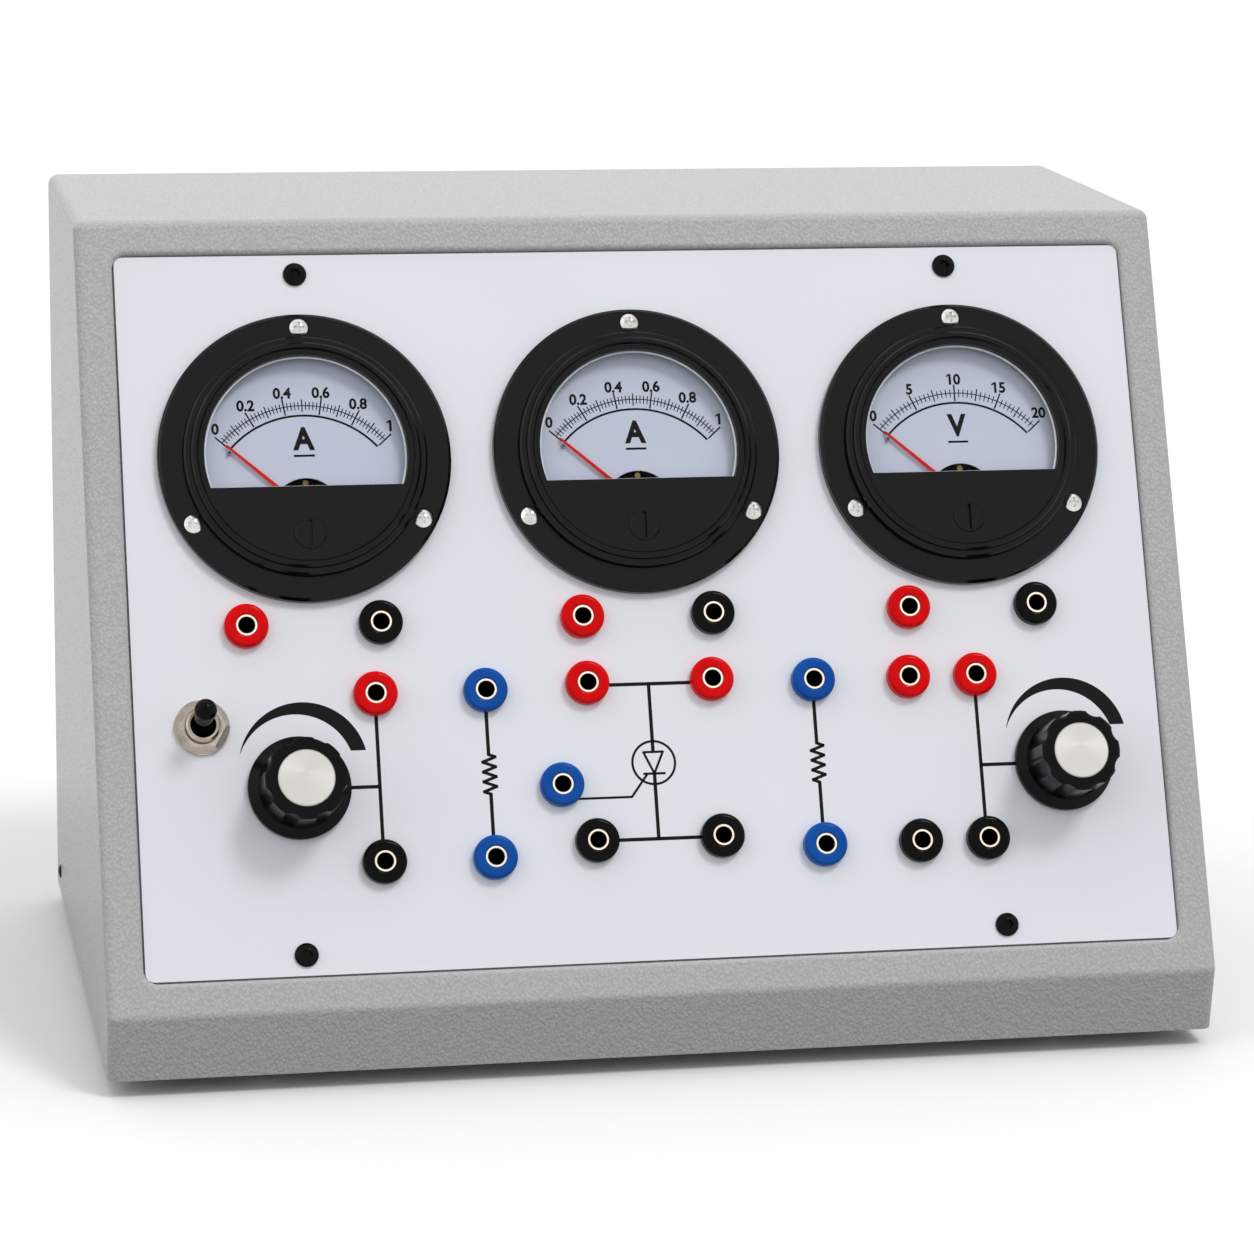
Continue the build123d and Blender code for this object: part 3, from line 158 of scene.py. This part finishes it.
def linear(hex_colour):
    """The sRGB colour that a hex string names, in linear light."""
    values = [int(hex_colour[i : i + 2], 16) / 255 for i in (1, 3, 5)]
    flat = [v / 12.92 if v <= 0.04045 else ((v + 0.055) / 1.055) ** 2.4 for v in values]
    return (*flat, 1.0)


def node(tree, kind, feeds=None, **settings):
    """Adds a node, with its settings and what each of its sockets gets."""
    made = tree.nodes.new(kind)
    for name, value in settings.items():
        setattr(made, name, value)
    for socket, value in (feeds or {}).items():
        if isinstance(value, bpy.types.NodeSocket):
            tree.links.new(value, made.inputs[socket])
        else:
            made.inputs[socket].default_value = value
    return made


def surface(name, **values):
    """A material with one shader whose own sockets hold the given values."""
    made = bpy.data.materials.new(name)
    made.use_nodes = True
    shader = made.node_tree.nodes["Principled BSDF"]
    for socket, value in values.items():
        shader.inputs[socket.replace("_", " ")].default_value = value
    coords = node(made.node_tree, "ShaderNodeTexCoord")
    return made, made.node_tree, shader, coords.outputs["Object"]


def per_metre(millimetres):
    """Texture scale at which one cell of the pattern is this many millimetres wide."""
    return 1.0 / (millimetres * mm)


def noise(tree, vector, cell_mm, detail):
    """Noise whose cells are this many millimetres wide."""
    feeds = {"Vector": vector, "Scale": per_metre(cell_mm), "Detail": detail}
    return node(tree, "ShaderNodeTexNoise", feeds)


def shade(tree, factor, dark, light, low=0.35, high=0.65):
    """Colour that runs from dark to light as the factor goes from low to high."""
    ramp = node(tree, "ShaderNodeValToRGB", {"Fac": factor})
    ramp.color_ramp.elements[0].position = low
    ramp.color_ramp.elements[0].color = linear(dark)
    ramp.color_ramp.elements[1].position = high
    ramp.color_ramp.elements[1].color = linear(light)
    return ramp.outputs["Color"]


def spread(tree, factor, low, high):
    """The factor's 0 to 1 turned into low to high."""
    made = node(tree, "ShaderNodeMapRange", {"Value": factor, "To Min": low, "To Max": high})
    return made.outputs["Result"]


def relief(tree, height, depth, shader, strength=1.0):
    """Bump of the given depth in metres on a shader."""
    bump = node(
        tree, "ShaderNodeBump", {"Height": height, "Distance": depth, "Strength": strength}
    )
    tree.links.new(bump.outputs["Normal"], shader.inputs["Normal"])


def powder_coat():
    """Light grey textured powder coat: low matt beads, with painted shade that darkens the grooves
    between them.
    """
    made, tree, shader, coords = surface(
        "light_grey_textured_powder_coat", Specular_IOR_Level=0.05
    )
    placed = node(
        tree,
        "ShaderNodeMapping",
        {"Vector": coords, "Rotation": (0.0, radians(38), 0.0), "Scale": (1.0, 1.0, 0.7)},
    )
    bead = node(
        tree,
        "ShaderNodeTexVoronoi",
        {"Vector": placed.outputs["Vector"], "Scale": per_metre(0.72), "Smoothness": 0.3},
        feature="SMOOTH_F1",
    )
    wave = noise(tree, placed.outputs["Vector"], 2.2, 1.0)
    height = node(
        tree,
        "ShaderNodeMath",
        {0: bead.outputs["Distance"], 1: -1.0, 2: wave.outputs["Fac"]},
        operation="MULTIPLY_ADD",
    )
    # Painted shade: the colour runs from lighter bead tops to darker grooves
    colour = shade(tree, bead.outputs["Distance"], "#c4c5c5", "#b6b7b7", 0.15, 0.6)
    relief(tree, height.outputs[0], 0.17 * mm, shader)
    tree.links.new(colour, shader.inputs["Base Color"])
    tree.links.new(spread(tree, wave.outputs["Fac"], 0.16, 0.28), shader.inputs["Roughness"])
    return made


def stove_enamel():
    """Cool white stove enamel, smooth, with a faint orange peel."""
    made, tree, shader, coords = surface("white_stove_enamel", Roughness=0.42)
    peel = noise(tree, coords, 1.6, 2.0)
    cloud = noise(tree, coords, 60, 1.0)
    relief(tree, peel.outputs["Fac"], 0.02 * mm, shader, 0.5)
    colour = shade(tree, cloud.outputs["Fac"], "#e9ecf3", "#ebeef5")
    tree.links.new(colour, shader.inputs["Base Color"])
    return made


def moulded(name, dark, light, low_gloss, high_gloss, grain_mm=0.5, depth_mm=0.01, **values):
    """Moulded plastic: an even colour with a fine mould grain and uneven gloss."""
    made, tree, shader, coords = surface(name, **values)
    grain = noise(tree, coords, grain_mm, 3.0)
    broad = noise(tree, coords, 9, 2.0)
    tree.links.new(shade(tree, broad.outputs["Fac"], dark, light), shader.inputs["Base Color"])
    tree.links.new(
        spread(tree, broad.outputs["Fac"], low_gloss, high_gloss), shader.inputs["Roughness"]
    )
    relief(tree, grain.outputs["Fac"], depth_mm * mm, shader, 0.5)
    return made


def gloss_moulding(name, dark, light):
    """Polished moulding: one deep colour under small, sharp highlights."""
    return moulded(name, dark, light, 0.06, 0.1, 1.5, 0.001, Specular_IOR_Level=0.08)


def plated(name, dark, light, low_gloss, high_gloss, scratch_mm=0.25):
    """Plated or rolled metal: a fine grain in the surface and slightly uneven gloss."""
    made, tree, shader, coords = surface(name, Metallic=1.0)
    marks = noise(tree, coords, scratch_mm, 4.0)
    broad = noise(tree, coords, 3, 2.0)
    tree.links.new(shade(tree, broad.outputs["Fac"], dark, light), shader.inputs["Base Color"])
    tree.links.new(
        spread(tree, marks.outputs["Fac"], low_gloss, high_gloss), shader.inputs["Roughness"]
    )
    relief(tree, marks.outputs["Fac"], 0.006 * mm, shader, 0.4)
    return made


def nickel_sleeve():
    """Nickel-plated brass sleeve: pale nickel, lighter than plain plate, as a painted highlight at
    the rim and on the tail behind the panel, with painted shade that darkens the bore.
    """
    made, tree, shader, coords = surface("nickel_sleeve_painted_highlight_and_shade", Metallic=1.0)
    height = node(
        tree, "ShaderNodeVectorMath", {0: coords, 1: panel_out}, operation="DOT_PRODUCT"
    ).outputs["Value"]
    face = panel_origin.dot(panel_out)
    rim = node(
        tree,
        "ShaderNodeMapRange",
        {"Value": height, "From Min": face + bore_top, "From Max": face + bore_top + rim_fade},
    ).outputs["Result"]
    tail = node(
        tree,
        "ShaderNodeMapRange",
        {"Value": height, "From Min": face + bore_end, "From Max": face + bore_end - tail_fade},
    ).outputs["Result"]
    # 1 gives the pale nickel of the painted highlight, 0 the painted shade in the bore
    highlight_not_shade = node(tree, "ShaderNodeMath", {0: rim, 1: tail}, operation="MAXIMUM").outputs[0]
    tree.links.new(shade(tree, highlight_not_shade, "#0d0a08", "#fff3e2", 0.0, 1.0), shader.inputs["Base Color"])
    tree.links.new(spread(tree, highlight_not_shade, 0.7, 0.42), shader.inputs["Roughness"])
    return made


def dial_card():
    """Pale blue-white lacquered dial, matt, a little uneven."""
    made, tree, shader, coords = surface("pale_dial_lacquer", Roughness=0.7)
    cloud = noise(tree, coords, 22, 1.0)
    colour = shade(tree, cloud.outputs["Fac"], "#dfe8ff", "#e4ecff", 0.3, 0.7)
    tree.links.new(colour, shader.inputs["Base Color"])
    return made


def clear_glass():
    """Clear acrylic sheet: it lets nearly all of the dial through, with a faint gloss."""
    return surface(
        "clear_acrylic_sheet",
        Base_Color=linear("#0c0d10"),
        Roughness=0.04,
        Alpha=0.07,
    )[0]


def edge_painted_highlight():
    """Pale near-white colour for the window's edge: a painted highlight that draws a bright line.
    """
    made, tree, shader, coords = surface("acrylic_edge_painted_highlight", Roughness=0.12)
    haze = noise(tree, coords, 5, 1.0)
    colour = shade(tree, haze.outputs["Fac"], "#dfe6f4", "#f3f6fc")
    tree.links.new(colour, shader.inputs["Base Color"])
    return made


def printing_ink():
    """Black screen ink, slightly uneven in tone."""
    made, tree, shader, coords = surface(
        "black_screen_ink", Roughness=0.6, Specular_IOR_Level=0.15
    )
    speck = noise(tree, coords, 0.8, 2.0)
    colour = shade(tree, speck.outputs["Fac"], "#040405", "#0a0a0b")
    tree.links.new(colour, shader.inputs["Base Color"])
    return made


def spun_aluminium():
    """Aluminium disc faced on a lathe: uneven satin that stretches the light a little."""
    made, tree, shader, coords = surface(
        "spun_aluminium",
        Base_Color=linear("#c6c5c1"),
        Metallic=1.0,
        Roughness=0.5,
        Anisotropic=0.3,
    )
    satin = noise(tree, coords, 0.5, 3.0)
    tree.links.new(spread(tree, satin.outputs["Fac"], 0.46, 0.58), shader.inputs["Roughness"])
    return made


materials = {
    "case_paint": powder_coat(),
    "inner_steel": plated("zinc_plated_sheet", "#a8aaac", "#b8babb", 0.35, 0.5, 1.5),
    "panel_enamel": stove_enamel(),
    "foot_rubber": moulded("black_foot_rubber", "#121212", "#191919", 0.75, 0.85, 0.4, 0.03),
    "black_screw": moulded(
        "blackened_steel", "#060607", "#0c0c0e", 0.16, 0.22, 0.6, 0.004, Specular_IOR_Level=0.1
    ),
    "plated_screw": plated("bright_zinc_plate", "#c9c8c4", "#dedddb", 0.14, 0.24),
    "terminal_brass": plated("turned_brass", "#b08d4c", "#c9a660", 0.22, 0.36),
    "socket_red": gloss_moulding("red_gloss_moulding", "#d80005", "#e20308"),
    "socket_black": gloss_moulding("black_gloss_moulding", "#060607", "#0b0b0d"),
    "socket_blue": gloss_moulding("blue_gloss_moulding", "#0b4ca2", "#1054ab"),
    "sleeve_nickel": plated("nickel_plate", "#b5aa94", "#cfc6b4", 0.2, 0.32),
    "toggle_nickel": plated("satin_nickel_plate", "#a89d90", "#beb4a8", 0.2, 0.3),
    "toggle_black": gloss_moulding("black_lever_moulding", "#050506", "#09090b"),
    "switch_moulding": moulded("phenolic_moulding", "#181614", "#221f1c", 0.45, 0.6),
    "gland_plastic": moulded("black_nylon", "#101010", "#191919", 0.4, 0.52, 0.5, 0.02),
    "fuse_glass": clear_glass(),
    "core_steel": plated("core_laminations", "#56585c", "#6a6c70", 0.45, 0.6, 0.6),
    "winding_tape": moulded("yellow_winding_tape", "#c9a535", "#d8b646", 0.4, 0.5),
    "board_laminate": moulded("green_board_laminate", "#1b5a2c", "#226a35", 0.3, 0.4),
    "capacitor_sleeve": moulded("blue_capacitor_sleeve", "#1c2352", "#262f66", 0.3, 0.4),
    "sink_aluminium": plated("extruded_aluminium", "#b4b6b8", "#c6c8ca", 0.35, 0.45, 1.0),
    "device_epoxy": moulded("moulded_epoxy", "#121212", "#1a1a1a", 0.5, 0.6),
    "meter_moulding": moulded(
        "black_meter_moulding", "#060607", "#0a0a0c", 0.1, 0.15, 0.8, 0.002, Specular_IOR_Level=0.2
    ),
    "meter_glass": clear_glass(),
    "dial_card": dial_card(),
    "movement_brass": plated("movement_brass", "#6f5634", "#8d6f45", 0.25, 0.4),
    "pointer_red": moulded(
        "red_pointer_lacquer", "#e80f08", "#f2160e", 0.4, 0.5, 1.0, 0.002, Specular_IOR_Level=0.2
    ),
    "knob_moulding": moulded(
        "black_knob_moulding", "#060607", "#0b0b0d", 0.16, 0.24, 0.8, 0.004, Specular_IOR_Level=0.1
    ),
    "knob_aluminium": spun_aluminium(),
}
sleeve_mouths = nickel_sleeve()
sleeve_blue = moulded("dark_blue_sleeve", "#141a33", "#1b2242", 0.3, 0.4, 1.0, 0.002)
ink = printing_ink()
window_edge_highlight = edge_painted_highlight()

for subpart in frame["record"]["subparts"]:
    solid = frame["nodes"][subpart["node"]]
    finish = materials[subpart["material_slot"]]
    if subpart["node"] == "socket_sleeves":
        finish = sleeve_mouths
    if not solid.data.materials:
        solid.data.materials.append(finish)
    for index in range(len(solid.data.materials)):
        solid.data.materials[index] = finish


def finished(bm, name, place, body, material):
    """Makes the piece an object at the origin, with its place in its mesh."""
    bmesh.ops.remove_doubles(bm, verts=bm.verts, dist=weld_distance)
    bmesh.ops.recalc_face_normals(bm, faces=bm.faces)
    mesh = bpy.data.meshes.new(name)
    bm.to_mesh(mesh)
    bm.free()
    mesh.transform(place)
    mesh.materials.append(material)
    piece = bpy.data.objects.new(name, mesh)
    scene.collection.objects.link(piece)
    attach(piece, body)


def bar(bm, start, end, width, base=0.0):
    """A printed straight line between two points of the sheet."""
    start, end = Vector(start), Vector(end)
    along = end - start
    middle = (start + end) / 2
    turn = Matrix.Rotation(along.angle_signed(Vector((1, 0))), 4, "Z")
    height = ink_height + ink_root
    size = Matrix.Diagonal((along.length + width * line_overrun, width, height, 1))
    rise = base + (ink_height - ink_root) / 2
    bmesh.ops.create_cube(
        bm, size=1.0, matrix=Matrix.Translation((middle.x, middle.y, rise)) @ turn @ size
    )


def ring(bm, centre, radius, width, start=0.0, sweep=2 * pi, base=0.0, steps=ring_steps):
    """A printed arc: its cross-section spun round the centre."""
    middle = Vector((centre[0], centre[1], base))
    section = (
        Matrix.Translation(middle)
        @ Matrix.Rotation(start, 4, "Z")
        @ Matrix.Translation((radius, 0, (ink_height - ink_root) / 2))
        @ Matrix.Rotation(pi / 2, 4, "X")
        @ Matrix.Diagonal((width, ink_height + ink_root, 1, 1))
    )
    cross = bmesh.ops.create_grid(
        bm, x_segments=1, y_segments=1, size=0.5, matrix=section
    )["verts"]
    face = cross[0].link_faces[0]
    geom = cross + face.edges[:]
    full = sweep == 2 * pi
    if full:
        bmesh.ops.delete(bm, geom=[face], context="FACES_ONLY")
    else:
        geom.append(face)
    bmesh.ops.spin(
        bm, geom=geom, cent=middle, axis=(0, 0, 1), angle=sweep, steps=steps, use_merge=full
    )


def printed(curve_name, text, height, at, base, squeeze, weight):
    """Printed characters, centred on a point of the sheet."""
    curve = bpy.data.curves.new(curve_name, "FONT")
    curve.body = text
    curve.size = height * face_size
    curve.align_x = "CENTER"
    curve.align_y = "CENTER"
    curve.offset = weight
    curve.extrude = (ink_height + ink_root) / 2
    curve.resolution_u = 4
    holder = bpy.data.objects.new(curve_name, curve)
    scene.collection.objects.link(holder)
    bpy.context.view_layer.update()
    settled = holder.evaluated_get(bpy.context.evaluated_depsgraph_get())
    mesh = bpy.data.meshes.new_from_object(settled)
    bpy.data.objects.remove(holder)
    mesh.transform(
        Matrix.Translation((at[0], at[1], base + (ink_height - ink_root) / 2))
        @ Matrix.Diagonal((squeeze, 1, 1, 1))
    )
    return mesh


def number(bm, name, text, at, base):
    """A printed number; a leading one gets the flag that the plain face lacks."""
    mesh = printed(name, text, number_height, at, base, number_squeeze, number_weight)
    bm.from_mesh(mesh)
    if text.startswith("1"):
        stem = min(vert.co.x for vert in mesh.vertices) + stem_inset
        top = max(vert.co.y for vert in mesh.vertices) - stem_inset
        bar(bm, (stem, top), (stem - flag_reach, top - flag_drop), major_width, base)


def circuit_print():
    """The panel's circuit: dividers, resistors, thyristor symbol and volume wedges."""
    bm = bmesh.new()
    edge = socket_radius * under_head
    for u, knob_u in zip(divider_us, knob_us):
        bar(bm, (u, upper_row - edge), (u, lower_row + edge), line_width)
        side = 1 if knob_u < u else -1
        tap = (knob_u + side * skirt_radius * under_skirt, tap_row)
        bar(bm, tap, (u, tap_row), line_width)
    for u in resistor_us:
        bar(bm, (u, upper_row - edge), (u, resistor_top), line_width)
        bar(bm, (u, resistor_bottom), (u, lower_row + edge), line_width)
        pitch = (resistor_top - resistor_bottom) / zigzag_peaks
        points = [(u, resistor_top)]
        for peak in range(zigzag_peaks):
            side = 1 if peak % 2 == 0 else -1
            points.append((u + side * zigzag_reach, resistor_top - (peak + 0.5) * pitch))
        points.append((u, resistor_bottom))
        for start, end in zip(points, points[1:]):
            bar(bm, start, end, zigzag_width)
    left, right = thyristor_us
    bar(bm, (left + edge, anode_row), (right - edge, anode_row), line_width)
    bar(bm, (left + edge, cathode_row), (right - edge, cathode_row), line_width)
    bar(bm, (symbol_u, anode_row), (symbol_u, anode_point), line_width)
    bar(bm, (symbol_u, cathode_point), (symbol_u, cathode_row), line_width)
    corners = [
        (symbol_u - triangle_half, anode_point),
        (symbol_u + triangle_half, anode_point),
        (symbol_u, cathode_point),
    ]
    for start, end in zip(corners, corners[1:] + corners[:1]):
        bar(bm, start, end, symbol_width)
    bar(
        bm,
        (symbol_u - cathode_half, cathode_point),
        (symbol_u + cathode_half, cathode_point),
        symbol_width,
    )
    for start, end in zip(gate_path, gate_path[1:]):
        bar(bm, start, end, symbol_width)
    ring(bm, symbol_circle[:2], symbol_circle[2], symbol_width)
    for u in knob_us:
        volume_wedge(bm, u)
    finished(bm, "circuit_print", panel_place, "housing", ink)


def volume_wedge(bm, knob_u):
    """Crescent over a knob, from a point at the left to a broad foot at the right."""
    arcs = []
    for across, up, radius in (wedge_outer, wedge_inner):
        middle = Vector((knob_u + across, knob_row + up, ink_height))
        low = asin((wedge_foot - up) / radius)
        known = set(bm.edges)
        tip = middle + Vector((-cos(low), sin(low), 0)) * radius
        point = bmesh.ops.create_vert(bm, co=tip)["vert"]
        bmesh.ops.spin(
            bm, geom=point, cent=middle, axis=(0, 0, 1), angle=-(pi - 2 * low), steps=arc_steps
        )
        arcs.append([edge for edge in bm.edges if edge not in known])
    faces = bmesh.ops.bridge_loops(bm, edges=arcs[0] + arcs[1])["faces"]
    made = bmesh.ops.extrude_face_region(bm, geom=faces)["geom"]
    sunk = [item for item in made if isinstance(item, bmesh.types.BMVert)]
    bmesh.ops.translate(bm, verts=sunk, vec=(0, 0, -ink_height - ink_root))


def meter_scale(name, u, labels, divisions, symbol):
    """Arcs, ticks, numbers and symbol on one dial."""
    bm = bmesh.new()
    centre = (u, meter_row - pivot_drop)
    base = dial_rise
    first = pi / 2 - scale_half_angle
    sweep = 2 * scale_half_angle
    ring(bm, centre, scale_arc, scale_arc_width, first, sweep, base, arc_steps)
    ring(bm, centre, tick_arc, tick_arc_width, first, sweep, base, arc_steps)
    per_label = divisions // (len(labels) - 1)
    for step in range(divisions + 1):
        angle = pi / 2 + scale_half_angle - sweep * step / divisions
        if step % per_label == 0:
            (inner, outer), width = major_tick, major_width
        elif step % (per_label // 2) == 0:
            (inner, outer), width = middle_tick, middle_width
        else:
            (inner, outer), width = minor_tick, minor_width
        ray = Vector((cos(angle), sin(angle)))
        start = Vector(centre) + ray * inner
        bar(bm, start, Vector(centre) + ray * outer, width, base)
    for index, label in enumerate(labels):
        angle = pi / 2 + number_half_angle * (1 - 2 * index / (len(labels) - 1))
        at = Vector(centre) + Vector((cos(angle), sin(angle))) * number_radius
        number(bm, name + "_number", label, at, base)
    at = (u, centre[1] + symbol_rise)
    bm.from_mesh(
        printed(name + "_symbol", symbol, symbol_height, at, base, symbol_squeeze, symbol_weight)
    )
    level = centre[1] + underline_rise
    bar(
        bm,
        (u - underline_length / 2, level),
        (u + underline_length / 2, level),
        underline_width,
        base,
    )
    finished(bm, name + "_scale", panel_place, "housing", ink)


def window_highlight_bead(name, u):
    """Rounded bead all round the window's edge, coloured as a painted highlight."""
    bm = bmesh.new()
    reach = window_radius - bead_radius
    half = asin((window_chord - bead_radius) / reach)
    middle = Vector((u, meter_row, window_sheet))
    section = (
        Matrix.Translation(middle)
        @ Matrix.Rotation(-half, 4, "Z")
        @ Matrix.Translation((reach, 0, 0))
        @ Matrix.Rotation(pi / 2, 4, "X")
    )
    cross = bmesh.ops.create_circle(
        bm, segments=bead_segments, radius=bead_radius, matrix=section
    )["verts"]
    edges = list({edge for vert in cross for edge in vert.link_edges})
    ends = bmesh.ops.spin(
        bm,
        geom=cross + edges,
        cent=middle,
        axis=(0, 0, 1),
        angle=pi + 2 * half,
        steps=ring_steps,
    )["geom_last"]
    last = [item for item in ends if isinstance(item, bmesh.types.BMEdge)]
    bmesh.ops.bridge_loops(bm, edges=edges + last)
    # Painted highlight: the pale bead draws the bright line at the window's edge
    finished(bm, name + "_window_highlight_bead", panel_place, "housing", window_edge_highlight)


def stop_sleeve(name, u):
    """Dark sleeve on the pin that stops the pointer at zero."""
    bm = bmesh.new()
    middle = (u + stop_pin[0], meter_row + stop_pin[1], (dial_rise + stop_pin_top) / 2)
    bmesh.ops.create_cone(
        bm,
        cap_ends=True,
        segments=stop_sleeve_segments,
        radius1=stop_sleeve_radius,
        radius2=stop_sleeve_radius * stop_sleeve_taper,
        depth=stop_pin_top - dial_rise,
        matrix=Matrix.Translation(middle),
    )
    finished(bm, name + "_stop_sleeve", panel_place, "housing", sleeve_blue)


circuit_print()
for meter, u in zip(["ammeter_left", "ammeter_middle", "voltmeter"], meter_us):
    window_highlight_bead(meter, u)
    stop_sleeve(meter, u)
meter_scale("ammeter_left", meter_us[0], ["0", "0.2", "0.4", "0.6", "0.8", "1"], 50, "A")
meter_scale("ammeter_middle", meter_us[1], ["0", "0.2", "0.4", "0.6", "0.8", "1"], 50, "A")
meter_scale("voltmeter", meter_us[2], ["0", "5", "10", "15", "20"], 40, "V")


# Share of light that the floor gives back: to other surfaces, and where it is seen
floor_bounce = 0.2
floor_paper = 0.94
# Strength of the surround as a light; where it is seen it is white
ambient = 0.76


def seeing_rays(tree):
    """1 for rays by which the floor and the surround are seen, 0 for others."""
    path = node(tree, "ShaderNodeLightPath").outputs
    found = path["Is Camera Ray"]
    for kind in ("Is Glossy Ray", "Is Transmission Ray"):
        either = node(tree, "ShaderNodeMath", {0: found, 1: path[kind]}, operation="MAXIMUM")
        found = either.outputs[0]
    return found


def studio():
    """White floor that keeps the shadow, a white surround, and soft lamps."""
    bm = bmesh.new()
    bmesh.ops.create_grid(bm, x_segments=1, y_segments=1, size=6.0)
    mesh = bpy.data.meshes.new("floor")
    bm.to_mesh(mesh)
    bm.free()
    floor = bpy.data.objects.new("floor", mesh)
    scene.collection.objects.link(floor)
    made = bpy.data.materials.new("white_studio_floor")
    made.use_nodes = True
    tree = made.node_tree
    tree.nodes.clear()
    bounce, paper = [
        node(tree, "ShaderNodeBsdfDiffuse", {"Color": (tone, tone, tone, 1)})
        for tone in (floor_bounce, floor_paper)
    ]
    seen = seeing_rays(tree)
    mixed = node(
        tree, "ShaderNodeMixShader", {0: seen, 1: bounce.outputs[0], 2: paper.outputs[0]}
    )
    node(tree, "ShaderNodeOutputMaterial", {"Surface": mixed.outputs[0]})
    mesh.materials.append(made)

    world = bpy.data.worlds.new("studio_surround")
    scene.world = world
    world.use_nodes = True
    tree = world.node_tree
    background = tree.nodes["Background"]
    seen = seeing_rays(tree)
    strength = spread(tree, seen, ambient, 1.0)
    background.inputs["Color"].default_value = (1, 1, 1, 1)
    tree.links.new(strength, background.inputs["Strength"])

    def lamp(name, towards, level, spread_degrees):
        light = bpy.data.lights.new(name, "SUN")
        light.energy = level * pi
        light.angle = radians(spread_degrees)
        holder = bpy.data.objects.new(name, light)
        holder.rotation_euler = Vector(towards).to_track_quat("Z", "Y").to_euler()
        holder.location = Vector(towards).normalized() * 2
        scene.collection.objects.link(holder)

    lamp("key_softbox", (0.35, -0.42, 0.84), 0.29, 16)
    lamp("overhead_softbox", (0.05, 0.25, 0.97), 0.03, 60)
    lamp("back_softbox", (0.1, 0.6, 0.8), 0.07, 60)
    lamp("left_fill", (-0.83, -0.12, 0.48), 0.11, 60)


def camera():
    """Camera at the photograph's viewing angle."""
    yaw, pitch, roll = radians(11.43), radians(-13.24), radians(0.96)
    data = bpy.data.cameras.new("camera")
    data.sensor_width = 36.0
    data.lens = 125.0
    data.clip_start = 0.05
    data.clip_end = 50.0
    holder = bpy.data.objects.new("camera", data)
    ahead = Vector((sin(yaw) * cos(pitch), cos(yaw) * cos(pitch), sin(pitch)))
    turn = ahead.to_track_quat("-Z", "Y").to_matrix() @ Matrix.Rotation(roll, 3, "Z")
    stand = Matrix.Translation((-236.2 * mm, -1191.2 * mm, 387.1 * mm))
    holder.matrix_world = stand @ turn.to_4x4()
    scene.collection.objects.link(holder)
    scene.camera = holder


studio()
camera()
scene.view_settings.view_transform = "Standard"
